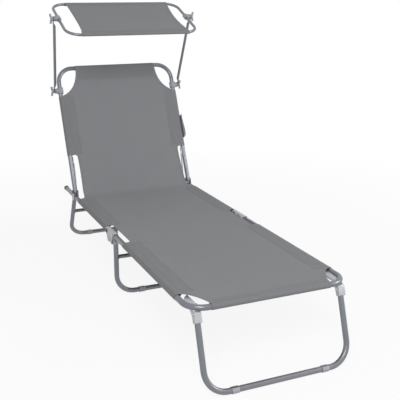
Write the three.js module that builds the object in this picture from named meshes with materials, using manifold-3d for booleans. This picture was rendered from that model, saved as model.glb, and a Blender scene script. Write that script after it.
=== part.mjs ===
// A folding sun lounger with an adjustable sun shade, in millimetres, with +Z up.
// X runs across the lounger and +Y runs from the foot end to the head end.
// The foot end's bar is the zero of all lengths along the lounger, until the last group centres it.

import * as THREE from "three";
import { mergeVertices } from "three/addons/utils/BufferGeometryUtils.js";
import Module from "manifold-3d";

const wasm = await Module();
wasm.setup();

// Facets of round forms
const tubeSides = 12;
const roundSides = 12;
const rivetSides = 8;
const bendSteps = 5;
const edgeSteps = 5;

const mergeTolerance = 1e-3; // under which two corners are one

// Clearances that all pieces share
const seatGap = 0.3; // between pieces that lie on each other
const runningGap = 0.3; // between pieces that turn on each other
const pinGap = 0.25; // around a pin in its hole
const cutOverrun = 4; // how far a cutting body runs past what it cuts

// Tubes and sheet metal
const mainTubeRadius = 9.5;
const crossbarRadius = 8;
const shadeTubeRadius = 6;
const plateThickness = 2;
const bracketThickness = 1.7;
const pinRadius = 3;
const rivetHeadRadius = 5.5;
const rivetHeadHeight = 1.8;

// Main frame, in a side view from the foot end's bar
const railHeight = 260;
const railHalfSpan = 272;
const frameCornerRadius = 60;
const footSectionLength = 723;
const hingePinSpacing = 64;
const seatSectionLength = 509;
const railStubLength = 163;

// Hinge channel that joins the foot section, the seat and the middle leg
const channelOverhang = 18; // past each pin
const channelCornerRadius = 2.5;
const channelSkirtDrop = 34; // below the rail's axis, round the middle leg
const channelSkirtHalfWidth = 14;

// Legs
const frontLegPivotY = 7.4;
const frontLegReach = 75.4;
const frontLegInset = 23; // from the rail's axis
const rearLegPivotInset = 67.3; // from the rail's head end
const rearLegReach = 123.3;
const middleLegInset = 14; // from the rail's axis
const legPivotDrop = 20; // below the rail's axis
const legCornerRadius = 72;
const middleCrossbarHeight = 160;
const rearCrossbarHeight = 150;
const clipWall = 1.5;
const clipFlatDepth = 0.3;
const clipLength = 24;
const clipInset = 115; // from the rail's axis
const clipMouthWidth = 12;

// Leg brackets
const frontBracketSkirt = 26; // below the pivot
const rearBracketSkirt = 12; // below the pivot, short enough to clear the folded front leg
const bracketLipShare = 0.55; // of the tube radius, past the leg's axis on the open side
const bracketLugRadius = 8;
const frontLugAlong = 15;
const frontLugRise = 22;
const rearLugAlong = 10;
const rearLugRise = 19;

// Backrest and its hinge
const backrestPivotRise = 21.5; // above the rail's axis
const backrestRaise = 65.83; // degrees above flat
const backrestLength = 567.6; // from its pivot to its top bar's axis
const backrestCornerRadius = 66;
const hingeLobeRadius = 9;
const hingeFootRadius = 4;
const hingeFootSpread = 13;

// Prop and notch plate that hold the backrest's angle
const propPivotAlong = 26; // behind the backrest's pivot
const propPivotDrop = 5.5; // below the backrest's pivot
const propSeatAlong = 123.5; // along the backrest's tube, where the prop's stud sits upright
const propBarRadius = 6;
const propLobeRadius = 7;
const propPinRadius = 2.5;
const propStudRadius = 2.5;
const notchCount = 4;
const notchDepth = 1.6;
const notchPlateMargin = 9;
const notchPlateHalfDepth = 9;
const notchWindowGap = 0.7;

// Canopy arms
const armPivotAlong = 465.5; // along the backrest's tube
const armEyeStandOff = 27; // outside the backrest tube's axis
const shadeEyeStandOff = 22.6; // outside the shade tube's axis
const armLength = 343.5;
const armLean = 20.6; // degrees forward of upright
const armEyeThickness = 3;
const armEyeRadius = 8.5;
const armFlatLength = 16;
const armFlareLength = 18;

// Clamps and wing nuts
const clampWall = 2.6;
const clampLength = 18;
const clampBossRadius = 7;
const studRadius = 3;
const studReach = 11; // past the arm's eye
const nutHubRadius = 6;
const nutTipRadius = 4.6;
const nutHubLength = 9;
const wingSpan = 37;
const wingThickness = 2.6;
const wingRootRadius = 3;
const wingTipRadius = 4.2;
const wingReach = 9.5;
const wingStandOff = 1.2; // past the hub's face, clear of the leaning arm

// Shade
const shadeTilt = 22.16; // degrees, its front bar lower
const shadeOverhang = 20; // past the rail's axis
const shadeFrontReach = 158;
const shadeBackReach = 144.2;
const shadeCornerRadius = 57;
const shadeClothInset = 59; // from the shade tube's axis
const shadeClothWaist = 5;

// Fabric
const clothThickness = 1.2;
const frontSleeveInset = 67; // from the rail's axis, as all the widths below
const footSleeveStart = 100;
const footSleeveEnd = 600;
const slotInset = 22;
const seatSleeveStart = 815;
const seatSleeveEnd = 1215;
const seatEndInset = 41;
const backSlotInset = 32;
const backSleeveStart = 165;
const backSleeveEnd = 437;
const topSleeveInset = 82;
const clothEdgeRadius = 14;
const creaseGap = 1.2;
const footCutAcrossShare = 0.33;
const footCutAlongShare = 0.93;
const topCutAcrossShare = 0.04;
const topCutAlongShare = 0.2;

// Side pocket
const pocketStart = 205;
const pocketEnd = 318;
const pocketDepth = 13;
const pocketHalfWidth = 15;
const pocketMouthFlare = 3;

// Caps on the rails' head ends
const capWall = 1.1;
const capGrip = 14;
const capCrown = 4;

// Sizes that follow from the ones above
const frontLegHalfSpan = railHalfSpan - frontLegInset;
const middleLegHalfSpan = railHalfSpan - middleLegInset;
const clipPlaceX = railHalfSpan - clipInset;
const armEyeLowerX = railHalfSpan + armEyeStandOff;
const shadeHalfSpan = railHalfSpan + shadeOverhang;
const armEyeUpperX = shadeHalfSpan + shadeEyeStandOff;
const armSlope = (armEyeUpperX - armEyeLowerX) / armLength;
const shadeClothHalfWidth = shadeHalfSpan - shadeClothInset;
const frontSleeveHalf = railHalfSpan - frontSleeveInset;
const slotHalfWidth = railHalfSpan - slotInset;
const seatEndHalfWidth = railHalfSpan - seatEndInset;
const backSlotHalfWidth = railHalfSpan - backSlotInset;
const topSleeveHalf = railHalfSpan - topSleeveInset;
const frontPinY = footSectionLength;
const rearPinY = frontPinY + hingePinSpacing;
const channelStartY = frontPinY - channelOverhang;
const channelEndY = rearPinY + channelOverhang;
const channelMiddleY = (frontPinY + rearPinY) / 2;
const backPivotY = rearPinY + seatSectionLength;
const backPivotZ = railHeight + backrestPivotRise;
const railEndY = backPivotY + railStubLength;
const legPivotZ = railHeight - legPivotDrop;
const rearLegPivotY = railEndY - rearLegPivotInset;
const rearLegHalfSpan =
  railHalfSpan - 2 * mainTubeRadius - seatGap - bracketThickness - runningGap;
const sleeveBore = mainTubeRadius + seatGap;
const sleeveRadius = sleeveBore + clothThickness;
const clipRadius = mainTubeRadius + seatGap + clipWall;
const bottomBarHeight = clipRadius - clipFlatDepth;
const channelInside = mainTubeRadius + runningGap;
const channelHalfWidth = channelInside + plateThickness;
const channelTopZ = railHeight + channelHalfWidth;
const upright = Math.PI / 2;
const backrestAngle = THREE.MathUtils.degToRad(backrestRaise);
const alongBack = new THREE.Vector2(Math.cos(backrestAngle), Math.sin(backrestAngle));
const frontOfBack = new THREE.Vector2(-alongBack.y, alongBack.x);

// Finishes
const greyPaint = { color: 0x8b9099, roughness: 0.42, metalness: 0.35 };
const paleMetal = { color: 0xb9bcc2, roughness: 0.4, metalness: 0.6 };
const brightSteel = { color: 0xc4c6ca, roughness: 0.3, metalness: 0.9 };
const greyCloth = { color: 0x77797c, roughness: 0.9, metalness: 0 };
const darkPlastic = { color: 0x2e3034, roughness: 0.55, metalness: 0 };
const greyPlastic = { color: 0x9a9ea6, roughness: 0.5, metalness: 0 };

// Turns a closed geometry into a solid that can be joined and cut.
function solidOf(geometry) {
  const bare = geometry.clone();
  bare.deleteAttribute("normal");
  bare.deleteAttribute("uv");
  const merged = mergeVertices(bare, mergeTolerance);
  const solid = new wasm.Manifold(
    new wasm.Mesh({
      numProp: 3,
      vertProperties: merged.attributes.position.array,
      triVerts: new Uint32Array(merged.index.array),
    }),
  );
  return solid;
}

function geometryOf(solid) {
  const mesh = solid.getMesh();
  const count = mesh.numProp;
  const places = new Float32Array(mesh.numVert * 3);
  for (let i = 0; i < mesh.numVert; i++) {
    places.set(mesh.vertProperties.subarray(i * count, i * count + 3), i * 3);
  }
  const geometry = new THREE.BufferGeometry();
  geometry.setAttribute("position", new THREE.BufferAttribute(places, 3));
  geometry.setIndex(new THREE.BufferAttribute(mesh.triVerts, 1));
  return geometry;
}

function join(solids) {
  return solids.reduce((whole, next) => whole.add(next));
}

function cut(solid, cutters) {
  return cutters.reduce((left, next) => left.subtract(next), solid);
}

// One named piece of the lounger.
function piece(name, solid, finish) {
  const geometry = geometryOf(solid).toNonIndexed();
  geometry.computeVertexNormals();
  const mesh = new THREE.Mesh(geometry, new THREE.MeshStandardMaterial(finish));
  mesh.name = name;
  return mesh;
}

function sideName(side) {
  return side < 0 ? "left" : "right";
}

// A path with known stations, so that a swept section gets rings only where the path needs them.
class StationPath extends THREE.Curve {
  constructor(stations, closed) {
    super();
    this.stations = stations;
    this.closed = closed;
  }

  get steps() {
    return this.closed ? this.stations.length : this.stations.length - 1;
  }

  station(share) {
    return this.stations[Math.round(share * this.steps) % this.stations.length];
  }

  getPointAt(share, target = new THREE.Vector3()) {
    return target.copy(this.station(share).at);
  }

  getTangentAt(share, target = new THREE.Vector3()) {
    return target.copy(this.station(share).along);
  }
}

// Stations round one bend of a path, from the direction before its corner to the one after it.
function bendStations(before, corner, after, radius) {
  const into = corner.clone().sub(before).normalize();
  const out = after.clone().sub(corner).normalize();
  const turn = into.angleTo(out);
  const axis = into.clone().cross(out).normalize();
  const start = corner.clone().addScaledVector(into, -radius * Math.tan(turn / 2));
  const centre = start.addScaledVector(axis.clone().cross(into), radius);
  const stations = [];
  for (let i = 0; i <= bendSteps; i++) {
    const along = into.clone().applyAxisAngle(axis, (turn * i) / bendSteps);
    const inward = axis.clone().cross(along);
    stations.push({ at: centre.clone().addScaledVector(inward, -radius), along });
  }
  return stations;
}

function openPath(corners, radius) {
  const last = corners.length - 1;
  const first = corners[1].clone().sub(corners[0]).normalize();
  const final = corners[last].clone().sub(corners[last - 1]).normalize();
  const bends = [];
  for (let i = 1; i < last; i++) {
    bends.push(...bendStations(corners[i - 1], corners[i], corners[i + 1], radius));
  }
  const stations = [{ at: corners[0], along: first }, ...bends, { at: corners[last], along: final }];
  return new StationPath(stations, false);
}

function closedPath(corners, radius) {
  const count = corners.length;
  const bends = corners.flatMap((corner, i) =>
    bendStations(corners[(i + count - 1) % count], corner, corners[(i + 1) % count], radius),
  );
  return new StationPath(bends, true);
}

function circlePoints(radius, sides, centre = new THREE.Vector2()) {
  const points = [];
  for (let i = 0; i < sides; i++) {
    const angle = (2 * Math.PI * i) / sides;
    points.push(
      new THREE.Vector2(centre.x + radius * Math.cos(angle), centre.y + radius * Math.sin(angle)),
    );
  }
  return points;
}

function bentTube(path, radius) {
  if (path.closed) {
    return solidOf(new THREE.TubeGeometry(path, path.steps, radius, tubeSides, true));
  }
  const section = new THREE.Shape(circlePoints(radius, tubeSides));
  return solidOf(
    new THREE.ExtrudeGeometry(section, { extrudePath: path, steps: path.steps }),
  );
}

// An outline drawn in one plane and given a thickness from one place to another along the third axis.
function thickened(outline, from, to, axes) {
  const low = Math.min(from, to);
  const depth = Math.abs(to - from);
  const geometry = new THREE.ExtrudeGeometry(outline, {
    depth,
    bevelEnabled: false,
    curveSegments: edgeSteps,
  });
  geometry.translate(0, 0, low);
  geometry.applyMatrix4(axes);
  return solidOf(geometry);
}

const unitX = new THREE.Vector3(1, 0, 0);
const unitY = new THREE.Vector3(0, 1, 0);
const unitZ = new THREE.Vector3(0, 0, 1);
const acrossAxes = new THREE.Matrix4().makeBasis(unitY, unitZ, unitX);
const lengthwiseAxes = new THREE.Matrix4().makeBasis(unitZ, unitX, unitY);
const uprightAxes = new THREE.Matrix4();

// A plate drawn in a side view, as (y, z), between two places across the lounger.
function sidePlate(outline, fromX, toX) {
  return thickened(outline, fromX, toX, acrossAxes);
}

// A bar drawn in an end view, as (z, x), between two places along the lounger.
function lengthwiseBar(outline, fromY, toY) {
  return thickened(outline, fromY, toY, lengthwiseAxes);
}

// A sheet drawn in plan, as (x, y), between two heights.
function flatSheet(outline, fromZ, toZ) {
  return thickened(outline, fromZ, toZ, uprightAxes);
}

function crossRod(y, z, radius, fromX, toX, sides = roundSides) {
  const outline = new THREE.Shape(circlePoints(radius, sides, new THREE.Vector2(y, z)));
  return sidePlate(outline, fromX, toX);
}

function lengthwiseRod(x, z, radius, fromY, toY, sides = roundSides) {
  const outline = new THREE.Shape(circlePoints(radius, sides, new THREE.Vector2(z, x)));
  return lengthwiseBar(outline, fromY, toY);
}

function uprightRod(x, y, radius, fromZ, toZ, sides = roundSides) {
  const outline = new THREE.Shape(circlePoints(radius, sides, new THREE.Vector2(x, y)));
  return flatSheet(outline, fromZ, toZ);
}

// The tight outline round a set of discs, as the rounded plates of a hinge have.
function roundedHull(discs) {
  const points = discs.flatMap(([x, y, radius]) =>
    circlePoints(radius, 2 * roundSides, new THREE.Vector2(x, y)),
  );
  points.sort((a, b) => a.x - b.x || a.y - b.y);
  const turns = (a, b, c) => (b.x - a.x) * (c.y - a.y) - (b.y - a.y) * (c.x - a.x);
  const halfHull = (list) => {
    const hull = [];
    for (const point of list) {
      while (hull.length > 1 && turns(hull.at(-2), hull.at(-1), point) <= 0) {
        hull.pop();
      }
      hull.push(point);
    }
    hull.pop();
    return hull;
  };
  return new THREE.Shape([...halfHull(points), ...halfHull(points.reverse())]);
}

function rectangle(fromX, toX, fromY, toY) {
  return new THREE.Shape([
    new THREE.Vector2(fromX, fromY),
    new THREE.Vector2(toX, fromY),
    new THREE.Vector2(toX, toY),
    new THREE.Vector2(fromX, toY),
  ]);
}

// Cuts what stands past a pin to a half circle about it, so that the end can turn in its bracket.
function roundingCutter(pinY, pinZ, radius, pastY, pastZ, halfSpan) {
  const reach = radius + cutOverrun;
  const block = sidePlate(
    rectangle(
      pinY + Math.min(0, pastY * 2 * reach) - Math.abs(pastZ) * reach,
      pinY + Math.max(0, pastY * 2 * reach) + Math.abs(pastZ) * reach,
      pinZ + Math.min(0, pastZ * 2 * reach) - Math.abs(pastY) * reach,
      pinZ + Math.max(0, pastZ * 2 * reach) + Math.abs(pastY) * reach,
    ),
    -halfSpan,
    halfSpan,
  );
  return block.subtract(crossRod(pinY, pinZ, radius, -halfSpan - cutOverrun, halfSpan + cutOverrun));
}

// A rivet across the lounger, with a domed head at each end, set past the faces that it holds.
function rivet(side, innerX, outerX, y, z, radius) {
  const start = innerX - seatGap - rivetHeadHeight;
  const end = outerX + seatGap + rivetHeadHeight;
  const crownShare = 0.55;
  const rimShare = 0.5;
  const outline = [
    new THREE.Vector2(0, start),
    new THREE.Vector2(rivetHeadRadius * crownShare, start),
    new THREE.Vector2(rivetHeadRadius, start + rivetHeadHeight * rimShare),
    new THREE.Vector2(rivetHeadRadius, innerX - seatGap),
    new THREE.Vector2(radius, innerX - seatGap),
    new THREE.Vector2(radius, outerX + seatGap),
    new THREE.Vector2(rivetHeadRadius, outerX + seatGap),
    new THREE.Vector2(rivetHeadRadius, end - rivetHeadHeight * rimShare),
    new THREE.Vector2(rivetHeadRadius * crownShare, end),
    new THREE.Vector2(0, end),
  ];
  const geometry = new THREE.LatheGeometry(outline, rivetSides);
  geometry.rotateZ(-side * upright);
  geometry.translate(0, y, z);
  return solidOf(geometry);
}

// The foot section's frame: one tube bent into a U, its ends rounded about the front hinge pins.
function footFrameTube() {
  const end = frontPinY + mainTubeRadius + cutOverrun;
  const path = openPath(
    [
      new THREE.Vector3(-railHalfSpan, end, railHeight),
      new THREE.Vector3(-railHalfSpan, 0, railHeight),
      new THREE.Vector3(railHalfSpan, 0, railHeight),
      new THREE.Vector3(railHalfSpan, end, railHeight),
    ],
    frameCornerRadius,
  );
  const outside = railHalfSpan + mainTubeRadius + cutOverrun;
  const tube = bentTube(path, mainTubeRadius);
  const rounding = roundingCutter(frontPinY, railHeight, mainTubeRadius, 1, 0, outside);
  const pinHole = crossRod(frontPinY, railHeight, pinRadius + pinGap, -outside, outside);
  return cut(tube, [rounding, pinHole]);
}

function seatRail(side) {
  const start = rearPinY - mainTubeRadius - cutOverrun;
  const outside = railHalfSpan + mainTubeRadius + cutOverrun;
  const tube = lengthwiseRod(side * railHalfSpan, railHeight, mainTubeRadius, start, railEndY, tubeSides);
  const rounding = roundingCutter(rearPinY, railHeight, mainTubeRadius, -1, 0, outside);
  const pinHole = crossRod(rearPinY, railHeight, pinRadius + pinGap, -outside, outside);
  return cut(tube, [rounding, pinHole]);
}

function railEndCap(side) {
  const bore = mainTubeRadius + seatGap;
  const outer = bore + capWall;
  const crownShare = 0.6;
  const outline = [
    new THREE.Vector2(0, seatGap),
    new THREE.Vector2(bore, seatGap),
    new THREE.Vector2(bore, -capGrip),
    new THREE.Vector2(outer, -capGrip),
    new THREE.Vector2(outer, capCrown * (1 - crownShare)),
    new THREE.Vector2(outer * crownShare, capCrown),
    new THREE.Vector2(0, capCrown),
  ];
  const geometry = new THREE.LatheGeometry(outline, tubeSides);
  geometry.translate(side * railHalfSpan, railEndY, railHeight);
  return solidOf(geometry);
}

// The inverted channel over the rails' meeting ends. It turns on both pins, and its top is the stop.
// Its two cheeks run down to a skirt round the middle leg.
function hingeChannel(side) {
  const centre = side * railHalfSpan;
  const bottom = railHeight - channelSkirtDrop;
  const outer = roundedHull([
    [channelTopZ - channelCornerRadius, centre - channelHalfWidth + channelCornerRadius, channelCornerRadius],
    [channelTopZ - channelCornerRadius, centre + channelHalfWidth - channelCornerRadius, channelCornerRadius],
    [bottom, centre - channelHalfWidth + channelCornerRadius, channelCornerRadius],
    [bottom, centre + channelHalfWidth - channelCornerRadius, channelCornerRadius],
  ]);
  const body = lengthwiseBar(outer, channelStartY, channelEndY);
  const hollow = lengthwiseBar(
    rectangle(bottom - cutOverrun, railHeight + channelInside, centre - channelInside, centre + channelInside),
    channelStartY - cutOverrun,
    channelEndY + cutOverrun,
  );
  const belowShare = 0.5;
  const outline = roundedHull([
    [channelStartY + channelOverhang, railHeight, channelOverhang * belowShare],
    [channelEndY - channelOverhang, railHeight, channelOverhang * belowShare],
    [channelStartY + channelCornerRadius, channelTopZ, channelCornerRadius],
    [channelEndY - channelCornerRadius, channelTopZ, channelCornerRadius],
  ]);
  const skirtCorner = channelSkirtHalfWidth - channelCornerRadius;
  const skirtEdge = bottom + channelCornerRadius;
  const skirt = roundedHull([
    [channelStartY + channelOverhang, railHeight, channelOverhang * belowShare],
    [channelEndY - channelOverhang, railHeight, channelOverhang * belowShare],
    [channelMiddleY - skirtCorner, skirtEdge, channelCornerRadius],
    [channelMiddleY + skirtCorner, skirtEdge, channelCornerRadius],
  ]);
  const near = centre - channelHalfWidth - cutOverrun;
  const far = centre + channelHalfWidth + cutOverrun;
  const trimmed = body.intersect(sidePlate(outline, near, far).add(sidePlate(skirt, near, far)));
  const legSeat = uprightRod(
    side * middleLegHalfSpan,
    channelMiddleY,
    mainTubeRadius + seatGap,
    bottom - cutOverrun,
    railHeight + mainTubeRadius - seatGap,
  );
  const holes = [frontPinY, rearPinY].map((pinY) =>
    crossRod(pinY, railHeight, pinRadius + pinGap, near, far),
  );
  return cut(trimmed, [hollow, legSeat, ...holes]);
}

function hingeRivet(side, pinY) {
  const inner = railHalfSpan - channelHalfWidth;
  const outer = railHalfSpan + channelHalfWidth;
  return rivet(side, inner, outer, pinY, railHeight, pinRadius);
}

// A leg as one U of tube, hanging straight down from the height of its pivot.
function legTube(halfSpan, top, drop) {
  const path = openPath(
    [
      new THREE.Vector3(-halfSpan, 0, top),
      new THREE.Vector3(-halfSpan, 0, -drop),
      new THREE.Vector3(halfSpan, 0, -drop),
      new THREE.Vector3(halfSpan, 0, top),
    ],
    legCornerRadius,
  );
  return bentTube(path, mainTubeRadius);
}

// A folding leg's tube has rounded ends with a hole for its pivot.
function foldingLegTube(halfSpan, drop) {
  const outside = halfSpan + mainTubeRadius + cutOverrun;
  const tube = legTube(halfSpan, mainTubeRadius + cutOverrun, drop);
  const rounding = roundingCutter(0, 0, mainTubeRadius, 0, 1, outside);
  return cut(tube, [rounding, crossRod(0, 0, pinRadius + pinGap, -outside, outside)]);
}

// A straight bar between a leg's two sides, its ends shaped to the tubes that they meet.
function legCrossbar(halfSpan, below) {
  const bar = crossRod(0, -below, crossbarRadius, -halfSpan, halfSpan, tubeSides);
  const seats = [-1, 1].map((side) =>
    uprightRod(
      side * halfSpan,
      0,
      mainTubeRadius + seatGap,
      -below - crossbarRadius - cutOverrun,
      -below + crossbarRadius + cutOverrun,
      2 * roundSides,
    ),
  );
  return cut(bar, seats);
}

// A snap-on foot round a leg's bottom bar, flat where it stands and open at the top.
function footClip(side, barY) {
  const centre = side * clipPlaceX;
  const fromX = centre - clipLength / 2;
  const toX = centre + clipLength / 2;
  const ring = crossRod(barY, bottomBarHeight, clipRadius, fromX, toX, 2 * tubeSides);
  const bore = crossRod(
    barY,
    bottomBarHeight,
    mainTubeRadius + seatGap,
    fromX - cutOverrun,
    toX + cutOverrun,
    2 * tubeSides,
  );
  const mouth = sidePlate(
    rectangle(
      barY - clipMouthWidth / 2,
      barY + clipMouthWidth / 2,
      bottomBarHeight,
      bottomBarHeight + clipRadius + cutOverrun,
    ),
    fromX - cutOverrun,
    toX + cutOverrun,
  );
  const floor = sidePlate(
    rectangle(barY - clipRadius - cutOverrun, barY + clipRadius + cutOverrun, -cutOverrun, 0),
    fromX - cutOverrun,
    toX + cutOverrun,
  );
  return cut(ring, [bore, mouth, floor]);
}

// A pressed channel that holds a folding leg. Its web is the leg's stop, and a lug seats it on the frame.
// It is drawn about the leg's pivot with the leg hanging straight down, and opens towards the fold.
function legBracket(side, halfSpan, openTowards, lug) {
  const centre = side * halfSpan;
  const inside = mainTubeRadius + runningGap;
  const outside = inside + bracketThickness;
  const lip = openTowards * mainTubeRadius * bracketLipShare;
  const back = -openTowards * outside;
  const cheekOutline = roundedHull([
    [lip, -lug.skirt + bracketThickness, bracketThickness],
    [back + openTowards * bracketThickness, -lug.skirt + bracketThickness, bracketThickness],
    [back + openTowards * bracketThickness, 0, bracketThickness],
    [openTowards * lug.inset, 0, mainTubeRadius - lug.inset],
  ]);
  const lugOutline = roundedHull([
    [0, 0, mainTubeRadius],
    [lug.along, lug.rise, bracketLugRadius],
  ]);
  const cheeks = [-1, 1].flatMap((face) => {
    const near = centre + face * inside;
    const far = centre + face * outside;
    return [sidePlate(cheekOutline, near, far), sidePlate(lugOutline, near, far)];
  });
  const web = sidePlate(
    rectangle(
      Math.min(back, back + openTowards * bracketThickness),
      Math.max(back, back + openTowards * bracketThickness),
      -lug.skirt + bracketThickness,
      0,
    ),
    centre - outside,
    centre + outside,
  );
  const pivotHole = crossRod(0, 0, pinRadius + pinGap, centre - outside - cutOverrun, centre + outside + cutOverrun);
  return join([...cheeks, web]).subtract(pivotHole);
}

function legRivet(side, halfSpan) {
  const outside = mainTubeRadius + runningGap + bracketThickness;
  return rivet(side, halfSpan - outside, halfSpan + outside, 0, 0, pinRadius);
}

// The saddle under a seat rail whose two cheeks hold the backrest's pivot.
// Its inner cheek also carries the prop that holds the backrest's angle.
function backrestHinge(side) {
  const inside = mainTubeRadius + runningGap;
  const outside = inside + plateThickness;
  const baseZ = railHeight - mainTubeRadius - seatGap - plateThickness;
  const feet = [-1, 1].map((way) => [
    backPivotY + way * hingeFootSpread,
    baseZ + hingeFootRadius,
    hingeFootRadius,
  ]);
  const lobe = [backPivotY, backPivotZ, hingeLobeRadius];
  const propLobe = [backPivotY + propPivotAlong, backPivotZ - propPivotDrop, propLobeRadius];
  const centre = side * railHalfSpan;
  const outerCheek = sidePlate(
    roundedHull([...feet, lobe]),
    side * (railHalfSpan + inside),
    side * (railHalfSpan + outside),
  );
  const innerCheek = sidePlate(
    roundedHull([...feet, lobe, propLobe]),
    side * (railHalfSpan - inside),
    side * (railHalfSpan - outside),
  );
  const web = sidePlate(
    rectangle(backPivotY - hingeFootSpread, backPivotY + hingeFootSpread, baseZ, baseZ + plateThickness),
    centre - outside,
    centre + outside,
  );
  const pivotHole = crossRod(
    backPivotY,
    backPivotZ,
    pinRadius + pinGap,
    centre - outside - cutOverrun,
    centre + outside + cutOverrun,
  );
  const propHole = crossRod(
    propLobe[0],
    propLobe[1],
    propPinRadius + pinGap,
    centre - outside - cutOverrun,
    centre + outside + cutOverrun,
  );
  return cut(join([outerCheek, innerCheek, web]), [pivotHole, propHole]);
}

function backrestRivet(side) {
  const outside = mainTubeRadius + runningGap + plateThickness;
  return rivet(side, railHalfSpan - outside, railHalfSpan + outside, backPivotY, backPivotZ, pinRadius);
}

// The backrest's tube, drawn flat from its pivot at the origin: +Y to the head, +Z to the front face.
function backrestTube() {
  const start = -mainTubeRadius - cutOverrun;
  const path = openPath(
    [
      new THREE.Vector3(-railHalfSpan, start, 0),
      new THREE.Vector3(-railHalfSpan, backrestLength, 0),
      new THREE.Vector3(railHalfSpan, backrestLength, 0),
      new THREE.Vector3(railHalfSpan, start, 0),
    ],
    backrestCornerRadius,
  );
  const outside = railHalfSpan + mainTubeRadius + cutOverrun;
  const tube = bentTube(path, mainTubeRadius);
  const rounding = roundingCutter(0, 0, mainTubeRadius, -1, 0, outside);
  return cut(tube, [rounding, crossRod(0, 0, pinRadius + pinGap, -outside, outside)]);
}

// Where the prop's stud lies in the backrest's own frame, by how far the backrest has been let down.
// The prop turns in proportion to the backrest, which keeps its stud near the tube's axis.
const propPivot = new THREE.Vector2(backPivotY + propPivotAlong, backPivotZ - propPivotDrop);
const propSeat = new THREE.Vector2(backPivotY, backPivotZ).addScaledVector(alongBack, propSeatAlong);
const propLength = propSeat.distanceTo(propPivot);
const propUprightAngle = propSeat.clone().sub(propPivot).angle();
const propFlatAngle = Math.asin(propPivotDrop / propLength);
const propRatio = (propUprightAngle - propFlatAngle) / backrestAngle;

function studPlace(share) {
  const letDown = share * backrestAngle;
  const propAngle = propUprightAngle - propRatio * letDown;
  const stud = new THREE.Vector2(Math.cos(propAngle), Math.sin(propAngle))
    .multiplyScalar(propLength)
    .add(propPivot)
    .sub(new THREE.Vector2(backPivotY, backPivotZ));
  const raise = backrestAngle - letDown;
  return stud.rotateAround(new THREE.Vector2(), -raise);
}

// The plate on the backrest's tube with the notched window that the prop's stud travels in.
function notchPlate(side) {
  const near = side * (railHalfSpan - mainTubeRadius - seatGap);
  const far = near - side * plateThickness;
  const travelSteps = 12;
  const windowRadius = propStudRadius + notchWindowGap;
  const travel = [];
  for (let i = 0; i <= travelSteps; i++) {
    const stud = studPlace(i / travelSteps);
    travel.push([stud.x, stud.y, windowRadius]);
  }
  const first = studPlace(0);
  const last = studPlace(1);
  const plate = sidePlate(
    roundedHull([
      [first.x, first.y, notchPlateHalfDepth],
      [last.x + notchPlateMargin / 2, last.y, notchPlateHalfDepth],
    ]),
    near,
    far,
  );
  const throughFrom = near + side * cutOverrun;
  const throughTo = far - side * cutOverrun;
  const slot = sidePlate(roundedHull(travel), throughFrom, throughTo);
  const notches = [];
  for (let i = 0; i < notchCount; i++) {
    const share = i / (notchCount - 1);
    const place = first.clone().lerp(last, share);
    notches.push(crossRod(place.x, place.y + notchDepth, propStudRadius, throughFrom, throughTo));
  }
  return cut(plate, [slot, ...notches]);
}

// The prop: a flat bar with a stud at its top end, drawn with its pivot at the origin, along +Y.
function propBar(side) {
  const outer = side * (railHalfSpan - mainTubeRadius - 2 * seatGap - plateThickness - runningGap);
  const inner = outer - side * plateThickness;
  const studEnd = side * (railHalfSpan - mainTubeRadius - 2 * seatGap);
  const bar = sidePlate(
    roundedHull([
      [0, 0, propBarRadius],
      [propLength, 0, propBarRadius],
    ]),
    inner,
    outer,
  );
  const stud = crossRod(propLength, 0, propStudRadius, inner, studEnd);
  const hole = crossRod(0, 0, propPinRadius + pinGap, inner - side * cutOverrun, outer + side * cutOverrun);
  return bar.add(stud).subtract(hole);
}

// The pin that the prop turns on, flush with the outer face of the hinge's cheek.
function propPin(side) {
  const cheekOuter = railHalfSpan - mainTubeRadius - runningGap;
  const barOuter = railHalfSpan - mainTubeRadius - 2 * seatGap - plateThickness - runningGap;
  const headFace = barOuter - plateThickness - seatGap;
  const start = headFace - rivetHeadHeight;
  const crownShare = 0.6;
  const outline = [
    new THREE.Vector2(0, start),
    new THREE.Vector2(rivetHeadRadius * crownShare, start),
    new THREE.Vector2(rivetHeadRadius, headFace),
    new THREE.Vector2(propPinRadius, headFace),
    new THREE.Vector2(propPinRadius, cheekOuter),
    new THREE.Vector2(0, cheekOuter),
  ];
  const geometry = new THREE.LatheGeometry(outline, rivetSides);
  geometry.rotateZ(-side * upright);
  geometry.translate(0, propPivot.x, propPivot.y);
  return solidOf(geometry);
}

// A clamp round a tube that runs along Y, with an outward boss and the stud for a wing nut.
function armClamp(side, tubeX, tubeRadius, eyeX) {
  const ring = lengthwiseRod(
    side * tubeX,
    0,
    tubeRadius + seatGap + clampWall,
    -clampLength / 2,
    clampLength / 2,
    2 * tubeSides,
  );
  const eyeNear = eyeX - armEyeThickness / 2;
  const eyeFar = eyeX + armEyeThickness / 2;
  const bossEnd = eyeNear - seatGap - armSlope * clampBossRadius;
  const boss = crossRod(0, 0, clampBossRadius, side * tubeX, side * bossEnd);
  const stud = crossRod(0, 0, studRadius, side * tubeX, side * (eyeFar + studReach));
  const bore = lengthwiseRod(
    side * tubeX,
    0,
    tubeRadius + seatGap,
    -clampLength / 2 - cutOverrun,
    clampLength / 2 + cutOverrun,
    2 * tubeSides,
  );
  return join([ring, boss, stud]).subtract(bore);
}

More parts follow.
